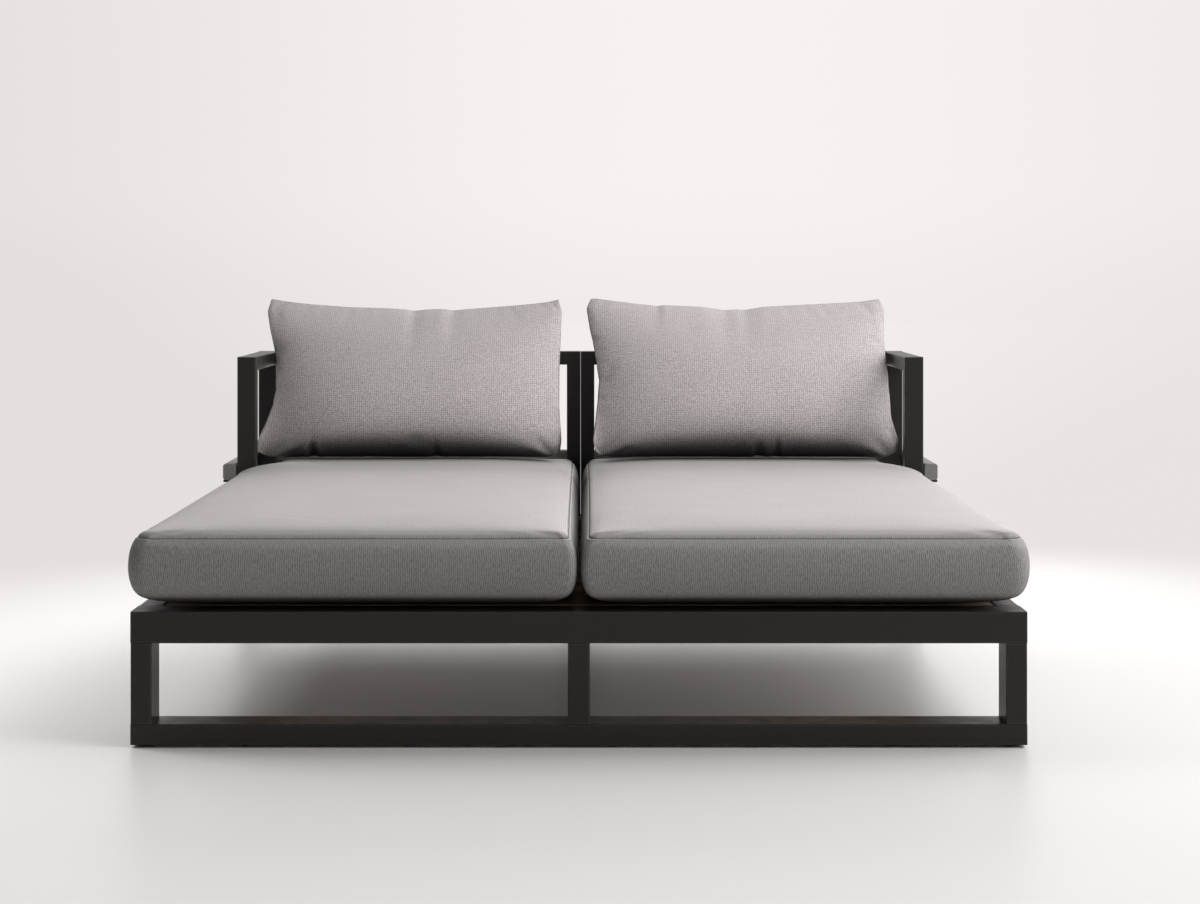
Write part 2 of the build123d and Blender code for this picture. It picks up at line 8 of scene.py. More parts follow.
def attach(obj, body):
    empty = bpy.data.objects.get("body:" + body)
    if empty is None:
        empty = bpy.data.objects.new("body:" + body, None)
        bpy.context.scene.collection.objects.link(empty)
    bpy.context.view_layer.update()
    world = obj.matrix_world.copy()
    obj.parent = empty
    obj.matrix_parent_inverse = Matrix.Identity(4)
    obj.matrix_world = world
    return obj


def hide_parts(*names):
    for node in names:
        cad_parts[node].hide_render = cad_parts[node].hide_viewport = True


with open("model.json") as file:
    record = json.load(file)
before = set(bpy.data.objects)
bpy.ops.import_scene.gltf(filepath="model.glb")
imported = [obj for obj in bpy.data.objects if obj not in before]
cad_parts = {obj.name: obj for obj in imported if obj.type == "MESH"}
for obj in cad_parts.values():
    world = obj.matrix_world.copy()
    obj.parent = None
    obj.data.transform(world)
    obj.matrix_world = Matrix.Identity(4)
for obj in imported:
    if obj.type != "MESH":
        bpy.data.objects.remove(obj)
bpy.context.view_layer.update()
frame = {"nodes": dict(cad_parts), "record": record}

scene = bpy.context.scene
scene.view_settings.view_transform = "Standard"
sides = {"left": -1, "right": 1}
tiny = 1e-9  # keeps a division from failing
slack = 1e-6  # for heights that should be equal


# camera: level, with the picture shifted down as a view camera does

cameraLook = {"place": (0.0116, -5.0595, 0.9157), "tilt": 90, "lens": 66.5, "sensor": 36,
              "shiftX": 0.0125, "shiftY": -0.156}

cameraData = bpy.data.cameras.new("photoCamera")
cameraData.lens = cameraLook["lens"]
cameraData.sensor_width = cameraLook["sensor"]
cameraData.shift_x = cameraLook["shiftX"]
cameraData.shift_y = cameraLook["shiftY"]
camera = bpy.data.objects.new("photoCamera", cameraData)
camera.location = cameraLook["place"]
camera.rotation_euler = (math.radians(cameraLook["tilt"]), 0, 0)
scene.collection.objects.link(camera)
scene.camera = camera
print("camera set")


# small helpers for node trees

def addNode(tree, kind, **settings):
    node = tree.nodes.new(kind)
    for name, value in settings.items():
        setattr(node, name, value)
    return node


def plug(tree, value, socket):
    # a socket gets either a link or a plain value
    if isinstance(value, bpy.types.NodeSocket):
        tree.links.new(value, socket)
    elif isinstance(value, (int, float)) and hasattr(socket.default_value, "__len__"):
        socket.default_value = [value] * len(socket.default_value)
    else:
        socket.default_value = value


def feed(tree, node, values):
    for label, value in values.items():
        plug(tree, value, node.inputs[label])


def mathOf(tree, operation, *values, clamp=False):
    node = addNode(tree, "ShaderNodeMath", operation=operation, use_clamp=clamp)
    for value, socket in zip(values, node.inputs):
        plug(tree, value, socket)
    return node.outputs[0]


def times(tree, first, second):
    return mathOf(tree, "MULTIPLY", first, second)


def scaled(tree, value, factor, offset):
    return mathOf(tree, "MULTIPLY_ADD", value, factor, offset)


def partsOf(tree, vector):
    node = addNode(tree, "ShaderNodeSeparateXYZ")
    plug(tree, vector, node.inputs[0])
    return node.outputs


def joined(tree, *values):
    node = addNode(tree, "ShaderNodeCombineXYZ")
    for value, socket in zip(values, node.inputs):
        plug(tree, value, socket)
    return node.outputs[0]


def vectorOf(tree, operation, first, second=(0, 0, 0)):
    node = addNode(tree, "ShaderNodeVectorMath", operation=operation)
    plug(tree, first, node.inputs[0])
    plug(tree, second, node.inputs[1])
    return node.outputs["Value" if operation in ("DOT_PRODUCT", "LENGTH") else "Vector"]


def rangeOf(tree, value, fromLow, fromHigh, toLow=0.0, toHigh=1.0, smooth=True):
    node = addNode(tree, "ShaderNodeMapRange", interpolation_type="SMOOTHSTEP" if smooth else "LINEAR")
    for socket, given in zip(node.inputs, (value, fromLow, fromHigh, toLow, toHigh)):
        plug(tree, given, socket)
    return node.outputs[0]


def noiseOf(tree, vector, scale, detail=2.0, roughness=0.5):
    node = addNode(tree, "ShaderNodeTexNoise")
    feed(tree, node, {"Vector": vector, "Scale": scale, "Detail": detail, "Roughness": roughness})
    return node.outputs[0]


def mixColour(tree, share, first, second):
    # the mix node keeps its colours in sockets 6 and 7, and gives one in output 2
    node = addNode(tree, "ShaderNodeMix", data_type="RGBA")
    plug(tree, share, node.inputs[0])
    for value, socket in ((first, node.inputs[6]), (second, node.inputs[7])):
        plug(tree, (*value, 1) if isinstance(value, tuple) else value, socket)
    return node.outputs[2]


def bumpOf(tree, height, strength, distance):
    node = addNode(tree, "ShaderNodeBump")
    feed(tree, node, {"Strength": strength, "Distance": distance, "Height": height})
    return node.outputs["Normal"]


def showMixed(tree, share, first, second, output):
    # the share is the second shader's
    mix = addNode(tree, "ShaderNodeMixShader")
    for value, socket in zip((share, first, second), mix.inputs):
        plug(tree, value, socket)
    plug(tree, mix.outputs[0], output.inputs["Surface"])


def newGroup(name, inputs, outputs):
    group = bpy.data.node_groups.new(name, "ShaderNodeTree")
    for label, kind, value in inputs:
        socket = group.interface.new_socket(name=label, in_out="INPUT", socket_type=kind)
        if value is not None:
            socket.default_value = value
    for label, kind in outputs:
        group.interface.new_socket(name=label, in_out="OUTPUT", socket_type=kind)
    return group, addNode(group, "NodeGroupInput"), addNode(group, "NodeGroupOutput")


def useGroup(tree, group, values):
    node = addNode(tree, "ShaderNodeGroup", node_tree=group)
    feed(tree, node, values)
    return node.outputs


def placeOf(tree):
    return addNode(tree, "ShaderNodeTexCoord").outputs["Object"]


def newMaterial(name, shaderValues):
    material = bpy.data.materials.new(name)
    material.use_nodes = True
    tree = material.node_tree
    tree.nodes.clear()
    shader = addNode(tree, "ShaderNodeBsdfPrincipled")
    output = addNode(tree, "ShaderNodeOutputMaterial")
    tree.links.new(shader.outputs["BSDF"], output.inputs["Surface"])
    for label, value in shaderValues.items():
        shader.inputs[label].default_value = value
    return material, tree, shader


# studio: a pale floor that fades into a pale backdrop, soft light from above, from the right and from behind

studio = {
    "floorReach": 30.0,
    "floorColour": (0.6, 0.595, 0.588), "floorRoughness": 0.4, "floorSpecular": 0.3,
    "fadeFrom": (0.45, -1.6, 0.0), "fadeStart": 2.0, "fadeEnd": 4.0,
    "backdrop": (0.925, 0.883, 0.88), "backdropDark": (0.775, 0.74, 0.735),
    "leftFade": (0.04, -0.34), "rightFade": (0.08, 0.42), "rightShare": 0.6,
    "lowFade": (0.04, -0.03), "lowShare": 0.3,
    "roomColour": (1, 0.985, 0.975, 1),
    "rightGlow": 1.2, "rightSpan": (0.0, 0.8), "backGlow": 1.15, "backSpan": (-0.1, 0.7),
    "dimBehind": 0.7, "nearSpan": (0.1, -0.5),
    "lampColour": (1, 0.99, 0.98),
}
lamps = {
    "rightKey": {"place": (2.0, -1.2, 3.0), "aim": (0.0, 0.1, 0.5), "size": (2.6, 2.2), "power": 72},
    "rightWall": {"place": (3.0, -0.9, 1.5), "aim": (0.0, 0.0, 0.4), "size": (3.2, 2.2), "power": 38},
    "backStrip": {"place": (0.0, 2.6, 1.9), "aim": (0.0, 0.0, 0.0), "size": (3.6, 0.8), "power": 50},
    "floorLeft": {"place": (-2.7, 0.0, 2.3), "aim": (0.0, 0.1, 0.4), "size": (1.3, 1.3), "power": 57},
    "floorBack": {"place": (0.0, 2.6, 0.76), "aim": (0.0, 0.2, 0.0), "size": (3.6, 0.3), "power": 88},
}
floorLamps = ("floorLeft", "floorBack")  # these light the floor alone


def makeBackdropGroup():
    # brightest ahead, a little darker to the sides and down at the horizon
    group, given, made = newGroup("backdrop", [("Direction", "NodeSocketVector", None)],
                                  [("Color", "NodeSocketColor")])
    parts = partsOf(group, vectorOf(group, "NORMALIZE", given.outputs["Direction"]))
    left = rangeOf(group, parts["X"], *studio["leftFade"])
    right = times(group, rangeOf(group, parts["X"], *studio["rightFade"]), studio["rightShare"])
    low = times(group, rangeOf(group, parts["Z"], *studio["lowFade"]), studio["lowShare"])
    share = mathOf(group, "ADD", mathOf(group, "MAXIMUM", left, right), low, clamp=True)
    feed(group, made, {"Color": mixColour(group, share, studio["backdrop"], studio["backdropDark"])})
    return group


def lightPathShare(tree):
    path = addNode(tree, "ShaderNodeLightPath")
    seen = mathOf(tree, "MAXIMUM", path.outputs["Is Camera Ray"], path.outputs["Is Glossy Ray"])
    return mathOf(tree, "MAXIMUM", seen, path.outputs["Is Transmission Ray"])


def makeWorld():
    world = bpy.data.worlds.new("studioWorld")
    scene.world = world
    world.use_nodes = True
    tree = world.node_tree
    tree.nodes.clear()
    shown = addNode(tree, "ShaderNodeBackground")
    lighting = addNode(tree, "ShaderNodeBackground")
    direction = addNode(tree, "ShaderNodeTexCoord").outputs["Generated"]
    # the room is bright on the right and behind the lounger
    parts = partsOf(tree, direction)
    right = rangeOf(tree, parts["X"], *studio["rightSpan"], 0.0, studio["rightGlow"])
    back = rangeOf(tree, parts["Y"], *studio["backSpan"], 0.0, studio["backGlow"])
    feed(tree, lighting, {"Color": studio["roomColour"], "Strength": mathOf(tree, "ADD", right, back)})
    # what the paint mirrors from the camera's side is dim
    nearSide = rangeOf(tree, parts["Y"], *studio["nearSpan"], 0.0, studio["dimBehind"])
    mirrored = addNode(tree, "ShaderNodeLightPath").outputs["Is Glossy Ray"]
    feed(tree, shown, {"Color": useGroup(tree, backdropGroup, {"Direction": direction})[0],
                       "Strength": mathOf(tree, "SUBTRACT", 1.0, times(tree, nearSide, mirrored))})
    showMixed(tree, lightPathShare(tree), lighting.outputs[0], shown.outputs[0],
              addNode(tree, "ShaderNodeOutputWorld"))


def makeFloor():
    reach = studio["floorReach"]
    corners = [(-reach, -reach, 0), (reach, -reach, 0), (reach, reach, 0), (-reach, reach, 0)]
    mesh = bpy.data.meshes.new("studioFloor")
    mesh.from_pydata(corners, [], [(0, 1, 2, 3)])
    floor = bpy.data.objects.new("studioFloor", mesh)
    scene.collection.objects.link(floor)
    floorOnly.objects.link(floor)
    material, tree, shader = newMaterial("studioFloor", {
        "Base Color": (*studio["floorColour"], 1), "Roughness": studio["floorRoughness"],
        "Specular IOR Level": studio["floorSpecular"]})
    # far away the floor turns into the backdrop
    place = placeOf(tree)
    away = vectorOf(tree, "LENGTH", vectorOf(tree, "SUBTRACT", place, studio["fadeFrom"]))
    far = rangeOf(tree, away, studio["fadeStart"], studio["fadeEnd"])
    glow = addNode(tree, "ShaderNodeEmission")
    feed(tree, glow, {"Color": useGroup(tree, backdropGroup, {"Direction": place})[0]})
    output = next(node for node in tree.nodes if node.type == "OUTPUT_MATERIAL")
    showMixed(tree, times(tree, far, lightPathShare(tree)), shader.outputs["BSDF"], glow.outputs[0], output)
    mesh.materials.append(material)


def makeLamp(name, look):
    light = bpy.data.lights.new(name, "AREA")
    light.shape = "RECTANGLE"
    light.size, light.size_y = look["size"]
    light.energy = look["power"]
    light.color = studio["lampColour"]
    lamp = bpy.data.objects.new(name, light)
    lamp.location = look["place"]
    towards = Vector(look["aim"]) - Vector(look["place"])
    lamp.rotation_euler = towards.to_track_quat("-Z", "Y").to_euler()
    lamp.visible_camera = False
    lamp.visible_glossy = False
    if name in floorLamps:
        lamp.light_linking.receiver_collection = floorOnly
    scene.collection.objects.link(lamp)


floorOnly = bpy.data.collections.new("floorOnly")
backdropGroup = makeBackdropGroup()
makeWorld()
makeFloor()
for lampName, lampLook in lamps.items():
    makeLamp(lampName, lampLook)
print("studio built")


# effects that more than one finish uses; a noise is (scale, detail, roughness), a fade is (start, end)

weaveLook = {"wobble": (55.0, 2.0), "wobbleTurns": 1.2, "fleck": (1.0, 2.0, 0.6), "warpSeed": 3.1,
             "weftSeed": 8.7, "strandShade": 0.22, "gridHeight": 0.5, "warpHeight": 0.5, "mottle": (9.0, 3.0)}
paintLook = {"grainDetail": (2.0, 0.6), "mottle": (14.0, 4.0), "bevelSamples": 4, "turnFade": (0.01, 0.12),
             "edgePatchNoise": (60.0, 4.0, 0.7), "edgePatchFade": (0.2, 0.6), "upFade": (0.6, 1.0),
             "dust": (24.0, 5.0, 0.65), "dustFade": (0.3, 0.8),
             "wearAndHighlight": 0.6, "unevenness": 0.1, "dustRoughness": 0.12}
grainLook = {"ringStretch": (1.6, 60.0), "ring": (1.0, 4.0, 0.55), "bands": 5.0, "bandShade": 0.35,
             "ringShade": 0.6, "poreStretch": (25.0, 1500.0), "pore": (1.0, 2.0, 0.6)}


def makeWeaveGroup():
    # heather cloth: fine threads both ways, with longer pale and dark flecks along the warp
    group, given, made = newGroup(
        "heatherWeave",
        [("Cloth", "NodeSocketVector", None), ("Thread", "NodeSocketFloat", 0.0016),
         ("Fleck Width", "NodeSocketFloat", 0.003), ("Fleck Length", "NodeSocketFloat", 0.016),
         ("Cross Share", "NodeSocketFloat", 0.3), ("Strand Share", "NodeSocketFloat", 0.5)],
        [("Shade", "NodeSocketFloat"), ("Height", "NodeSocketFloat"), ("Mottle", "NodeSocketFloat")])
    cloth = given.outputs["Cloth"]
    parts = partsOf(group, cloth)
    across, along = parts["X"], parts["Y"]
    wobble = noiseOf(group, cloth, *weaveLook["wobble"])

    def flecks(first, second, seed):
        wide = mathOf(group, "DIVIDE", first, given.outputs["Fleck Width"])
        long = mathOf(group, "DIVIDE", second, given.outputs["Fleck Length"])
        return noiseOf(group, joined(group, wide, long, seed), *weaveLook["fleck"])

    def threads(value):
        # a sine over the thread's width, brought to 0 to 1
        turns = mathOf(group, "DIVIDE", value, given.outputs["Thread"])
        turns = scaled(group, wobble, weaveLook["wobbleTurns"], turns)
        wave = mathOf(group, "SINE", times(group, turns, 2 * math.pi))
        return scaled(group, wave, 0.5, 0.5)

    warp = flecks(across, along, weaveLook["warpSeed"])
    weft = flecks(along, across, weaveLook["weftSeed"])
    blendNode = addNode(group, "ShaderNodeMix", data_type="FLOAT")
    for value, number in ((given.outputs["Cross Share"], 0), (warp, 2), (weft, 3)):
        plug(group, value, blendNode.inputs[number])
    grid = times(group, threads(across), threads(along))
    strands = scaled(group, threads(across), given.outputs["Strand Share"], -0.5)
    strands = times(group, mathOf(group, "ADD", grid, strands), weaveLook["strandShade"])
    feed(group, made, {
        "Shade": mathOf(group, "ADD", blendNode.outputs[0], strands),
        "Height": mathOf(group, "ADD", times(group, grid, weaveLook["gridHeight"]),
                         times(group, warp, weaveLook["warpHeight"])),
        "Mottle": noiseOf(group, cloth, *weaveLook["mottle"])})
    return group


def makePaintGroup():
    # powder paint: fine grain, edges a little paler (partly rubbed wear, partly a painted highlight along the
    # edge), dust on what faces up
    group, given, made = newGroup(
        "powderPaint",
        [("Place", "NodeSocketVector", None), ("Grain Scale", "NodeSocketFloat", 900.0),
         ("Edge Width", "NodeSocketFloat", 0.005)],
        [("Grain", "NodeSocketFloat"), ("Edge", "NodeSocketFloat"), ("Dust", "NodeSocketFloat"),
         ("Mottle", "NodeSocketFloat")])
    place = given.outputs["Place"]
    trueNormal = addNode(group, "ShaderNodeNewGeometry").outputs["Normal"]
    bevel = addNode(group, "ShaderNodeBevel", samples=paintLook["bevelSamples"])
    feed(group, bevel, {"Radius": given.outputs["Edge Width"]})
    turned = mathOf(group, "SUBTRACT", 1.0, vectorOf(group, "DOT_PRODUCT", trueNormal, bevel.outputs[0]))
    edgePatches = rangeOf(group, noiseOf(group, place, *paintLook["edgePatchNoise"]), *paintLook["edgePatchFade"])
    upward = rangeOf(group, partsOf(group, trueNormal)["Z"], *paintLook["upFade"])
    dust = rangeOf(group, noiseOf(group, place, *paintLook["dust"]), *paintLook["dustFade"])
    feed(group, made, {
        "Grain": noiseOf(group, place, given.outputs["Grain Scale"], *paintLook["grainDetail"]),
        "Edge": times(group, rangeOf(group, turned, *paintLook["turnFade"]), edgePatches),
        "Dust": times(group, upward, dust),
        "Mottle": noiseOf(group, place, *paintLook["mottle"])})
    return group


def makeBoardGroup():
    # straight wood grain that runs along X, with slow bands and fine pores
    group, given, made = newGroup(
        "boardGrain",
        [("Place", "NodeSocketVector", None), ("Seed", "NodeSocketFloat", 0.0)],
        [("Shade", "NodeSocketFloat"), ("Pores", "NodeSocketFloat")])
    parts = partsOf(group, given.outputs["Place"])

    def stretched(lengthScale, widthScale):
        long, wide = times(group, parts["X"], lengthScale), times(group, parts["Y"], widthScale)
        deep = scaled(group, parts["Z"], widthScale, given.outputs["Seed"])
        return joined(group, long, wide, deep)

    rings = noiseOf(group, stretched(*grainLook["ringStretch"]), *grainLook["ring"])
    bands = mathOf(group, "FRACT", times(group, rings, grainLook["bands"]))
    feed(group, made, {
        "Shade": mathOf(group, "ADD", times(group, bands, grainLook["bandShade"]),
                        times(group, rings, grainLook["ringShade"])),
        "Pores": noiseOf(group, stretched(*grainLook["poreStretch"]), *grainLook["pore"])})
    return group


weaveGroup = makeWeaveGroup()
paintGroup = makePaintGroup()
boardGroup = makeBoardGroup()


# finishes of the CAD pieces

blackPaint = {"colour": (0.018, 0.0168, 0.016), "rubbedAndHighlit": (0.08, 0.077, 0.074), "dust": (0.06, 0.058, 0.055),
              "roughness": 0.34, "specular": 0.25, "dustShare": 0.0, "grain": 0.16, "grainDepth": 0.0002}
greyPaint = {"colour": (0.17, 0.166, 0.162), "rubbedAndHighlit": (0.26, 0.255, 0.25), "dust": (0.3, 0.29, 0.28),
             "roughness": 0.42, "specular": 0.5, "dustShare": 0.18, "grain": 0.14, "grainDepth": 0.0002}
deckWood = {"pale": (0.6, 0.42, 0.29), "dark": (0.4, 0.26, 0.165), "bounced": (0.16, 0.156, 0.152),
            "seed": 4.0, "specular": 0.3, "roughness": 0.62, "poreRoughness": 0.15,
            "bump": 0.25, "bumpDepth": 0.0004}
footPlastic = {"colour": (0.014, 0.014, 0.014), "scuffed": (0.05, 0.05, 0.049), "roughness": 0.55,
               "scuffs": (90.0, 5.0, 0.7), "scuffFade": (0.5, 0.8), "scuffShare": 0.5, "scuffRoughness": 0.2,
               "grainScale": 1400.0, "bump": 0.2, "bumpDepth": 0.0002}
zincSteel = {"colour": (0.42, 0.42, 0.43), "stained": (0.25, 0.245, 0.24), "roughness": 0.34,
             "stains": (220.0, 4.0, 0.6), "stainRoughness": 0.2,
             "grainScale": 2500.0, "bump": 0.1, "bumpDepth": 0.0001}


def paintMaterial(name, look):
    material, tree, shader = newMaterial(name, {"Specular IOR Level": look["specular"]})
    place = placeOf(tree)
    paint = useGroup(tree, paintGroup, {"Place": place})
    # the edges are mixed paler: partly rubbed wear, partly a painted highlight along the edge
    wornAndHighlit = mixColour(tree, times(tree, paint["Edge"], paintLook["wearAndHighlight"]), look["colour"], look["rubbedAndHighlit"])
    unevenness = paintLook["unevenness"]
    uneven = scaled(tree, paint["Mottle"], unevenness, look["roughness"] - unevenness / 2)
    feed(tree, shader, {
        "Base Color": mixColour(tree, times(tree, paint["Dust"], look["dustShare"]), wornAndHighlit, look["dust"]),
        "Roughness": scaled(tree, paint["Dust"], paintLook["dustRoughness"], uneven),
        "Normal": bumpOf(tree, paint["Grain"], look["grain"], look["grainDepth"])})
    return material


def boardMaterial():
    look = deckWood
    material, tree, shader = newMaterial("deckWood", {"Specular IOR Level": look["specular"]})
    place = placeOf(tree)
    board = useGroup(tree, boardGroup, {"Place": place, "Seed": look["seed"]})
    grain = mixColour(tree, board["Shade"], look["dark"], look["pale"])
    # the light it sends on is nearly neutral, as on the photographed floor
    bounced = addNode(tree, "ShaderNodeLightPath").outputs["Is Diffuse Ray"]
    feed(tree, shader, {
        "Base Color": mixColour(tree, bounced, grain, look["bounced"]),
        "Roughness": scaled(tree, board["Pores"], look["poreRoughness"], look["roughness"]),
        "Normal": bumpOf(tree, board["Pores"], look["bump"], look["bumpDepth"])})
    return material


def plasticMaterial():
    look = footPlastic
    material, tree, shader = newMaterial("footPlastic", {})
    place = placeOf(tree)
    scuffs = rangeOf(tree, noiseOf(tree, place, *look["scuffs"]), *look["scuffFade"])
    shown = times(tree, scuffs, look["scuffShare"])
    feed(tree, shader, {
        "Base Color": mixColour(tree, shown, look["colour"], look["scuffed"]),
        "Roughness": scaled(tree, scuffs, look["scuffRoughness"], look["roughness"]),
        "Normal": bumpOf(tree, noiseOf(tree, place, look["grainScale"]), look["bump"], look["bumpDepth"])})
    return material


def zincMaterial():
    look = zincSteel
    material, tree, shader = newMaterial("zincSteel", {"Metallic": 1.0})
    place = placeOf(tree)
    stains = noiseOf(tree, place, *look["stains"])
    feed(tree, shader, {
        "Base Color": mixColour(tree, stains, look["stained"], look["colour"]),
        "Roughness": scaled(tree, stains, look["stainRoughness"], look["roughness"]),
        "Normal": bumpOf(tree, noiseOf(tree, place, look["grainScale"]), look["bump"], look["bumpDepth"])})
    return material


finishes = {
    "black_frame": paintMaterial("blackPaint", blackPaint),
    "grey_rail": paintMaterial("greyPaint", greyPaint),
    "deck_wood": boardMaterial(),
    "black_plastic": plasticMaterial(),
    "zinc_steel": zincMaterial(),
}


def dressFrame():
    # every CAD piece takes the finish of its slot in the record
    count = 0
    for piece in frame["record"]["subparts"]:
        finish = finishes.get(piece["material_slot"])
        if finish is None:
            continue
        for slot in frame["nodes"][piece["node"]].material_slots:
            slot.material = finish
        count += 1
    print("CAD pieces dressed:", count, "of", len(frame["nodes"]))


dressFrame()


# cloth of the cushions

clothLook = {"roughness": 0.88, "specular": 0.18, "sheen": 0.02, "sheenRoughness": 0.5,
             "steepFade": (0.25, 0.85), "paleFade": (0.5, 0.64), "darkFade": (0.5, 0.36),
             "mottleFade": (0.3, 0.7), "mottle": 0.1, "uprightFade": (0.85, 0.3), "frontFade": (-0.03, -0.42),
             "occlusionSamples": 8}
seatCloth = {
    "base": (0.4, 0.382, 0.383), "pale": (0.56, 0.535, 0.536), "dark": (0.21, 0.2, 0.201),
    "seam": (0.03, 0.029, 0.028), "paintedCreaseShade": (0.03, 0.029, 0.028),
    "crease": 0.85, "creaseReach": 0.1, "creaseFade": (0.94, 0.25),
    "thread": 0.0042, "fleckWidth": 0.002, "fleckLength": 0.009, "cross": 0.12, "strands": 1.0,
    "contrast": 1.0, "flatContrast": 0.3,
    "upright": 0.62, "frontward": 0.5, "paintedUprightShade": (0.1, 0.097, 0.096),
    "bump": 0.22, "bumpDepth": 0.0005,
}
pillowCloth = {
    "base": (0.52, 0.485, 0.487), "pale": (0.7, 0.656, 0.654), "dark": (0.33, 0.3, 0.303),
    "seam": (0.09, 0.082, 0.082), "paintedCreaseShade": (0.014, 0.013, 0.013),
    "crease": 0.94, "creaseReach": 0.24, "creaseFade": (0.86, 0.2),
    "thread": 0.0052, "fleckWidth": 0.0021, "fleckLength": 0.0055, "cross": 0.5, "strands": 0.3,
    "contrast": 1.0, "flatContrast": 0.6,
    "upright": 0.0, "frontward": 0.0, "paintedUprightShade": (0.2, 0.19, 0.19),
    "bump": 0.25, "bumpDepth": 0.0005,
}


def clothMaterial(name, look):
    every = clothLook
    material, tree, shader = newMaterial(name, {
        "Roughness": every["roughness"], "Specular IOR Level": every["specular"],
        "Sheen Weight": every["sheen"], "Sheen Roughness": every["sheenRoughness"]})
    cloth = addNode(tree, "ShaderNodeUVMap", uv_map="cloth").outputs[0]
    weave = useGroup(tree, weaveGroup, {
        "Cloth": cloth, "Thread": look["thread"], "Fleck Width": look["fleckWidth"],
        "Fleck Length": look["fleckLength"], "Cross Share": look["cross"], "Strand Share": look["strands"]})
    # painted light: the flecks are painted strongest where the cloth stands upright and weaker on the flat
    # top, as the light falls
    parts = partsOf(tree, addNode(tree, "ShaderNodeNewGeometry").outputs["Normal"])
    contrast = rangeOf(tree, parts["Z"], *every["steepFade"], look["contrast"], look["flatContrast"])
    light = times(tree, rangeOf(tree, weave["Shade"], *every["paleFade"]), contrast)
    deep = times(tree, rangeOf(tree, weave["Shade"], *every["darkFade"]), contrast)
    colour = mixColour(tree, light, look["base"], look["pale"])
    colour = mixColour(tree, deep, colour, look["dark"])
    faded = rangeOf(tree, weave["Mottle"], *every["mottleFade"], 0.0, every["mottle"])
    colour = mixColour(tree, faded, colour, look["pale"])
    # painted shade: the seats' cloth is darker where it stands upright or leans to the front
    upright = rangeOf(tree, parts["Z"], *every["uprightFade"], 0.0, look["upright"])
    frontward = rangeOf(tree, parts["Y"], *every["frontFade"], 0.0, look["frontward"], smooth=False)
    colour = mixColour(tree, mathOf(tree, "MAXIMUM", upright, frontward), colour, look["paintedUprightShade"])
    # painted shade: creases and what lies close to another piece are darker still, from the occlusion
    occlusion = addNode(tree, "ShaderNodeAmbientOcclusion", samples=every["occlusionSamples"])
    occlusion.inputs["Distance"].default_value = look["creaseReach"]
    crease = rangeOf(tree, occlusion.outputs["AO"], *look["creaseFade"], 0.0, look["crease"])
    colour = mixColour(tree, crease, colour, look["paintedCreaseShade"])
    # the seam row is darkened: on the seats a dark seam line, on the pillows painted shadow along the knife
    # edge
    seam = addNode(tree, "ShaderNodeAttribute", attribute_name="seam").outputs["Fac"]
    feed(tree, shader, {
        "Base Color": mixColour(tree, seam, colour, look["seam"]),
        "Normal": bumpOf(tree, weave["Height"], look["bump"], look["bumpDepth"])})
    return material


seatFabric = clothMaterial("seatFabric", seatCloth)
pillowFabric = clothMaterial("pillowFabric", pillowCloth)


# seat cushions: boxed, notched round the arm posts, one seam near the top edge

seat = {
    # the plan of the right-hand cushion
    "innerX": 0.00075, "outerX": 0.863, "frontY": -0.8655, "notchX": 0.8, "notchY": 0.4265, "backY": 0.7855,
    "frontRadius": 0.036, "innerRadius": 0.016, "backRadius": 0.034, "notchRadius": 0.012,
    "tighten": 0.6, "tightenReach": 0.25,
    # heights, and the drawn-in foot as (height, inset)
    "bottomZ": 0.2583,
    "foot": [(0.0, 0.13), (0.003, 0.1), (0.0075, 0.07), (0.0125, 0.045), (0.0165, 0.031), (0.0215, 0.021),
             (0.029, 0.0135), (0.04, 0.0075), (0.058, 0.0022), (0.078, 0.0)],
    "wallShares": (0.2, 0.4, 0.58, 0.74, 0.86, 0.94), "wallCurve": 3.2,
    "seamHeight": 0.140, "seamInset": 0.0125, "seamSteps": (-0.003, -0.001, 0.0, 0.001), "seamLean": 0.9,
    "edgeRadius": 0.014, "edgeStart": 18, "edgeAngles": (34, 52, 70, 84),
    "crownStart": 0.024, "crownReach": 0.23, "crownRise": 0.0125,
    # the swelling, from a slightly slimmer cushion
    "slim": 0.004, "slimReachX": 0.3, "slimReachY": 0.5,
    "heldHeight": 0.008, "lightHold": 0.12, "seamHold": 0.5,
    "inflate": {"tension": 15, "shear": 5, "bending": 4.0, "pressure": 4.0, "shrink": 0.0, "hold": 0.4},
    "cap": 0.005,
    # room for the posts behind and beside the notch
    "ease": 0.003, "postRoom": 0.0012, "behindX": 0.02, "behindY": 0.004, "besideX": 0.006, "besideY": 0.02,
    # relief of the top panel; a shoulder is (X, Y, reach, rise)
    "topFade": 0.01, "waveScale": 4.5, "waveSeed": {"left": 11.0, "right": 37.0}, "undulation": 0.0012,
    "shoulders": [(0.762, 0.43, 0.085, 0.0155), (0.77, 0.62, 0.09, 0.009)],
    # the seam's groove, as (row from the seam, share of the depth)
    "grooveRows": ((0, 1.0), (-1, 0.3), (1, 0.45)), "grooveDepth": 0.0016, "grooveDrop": 0.3,
    "pucker": 0.0005, "puckerScale": 30,
}
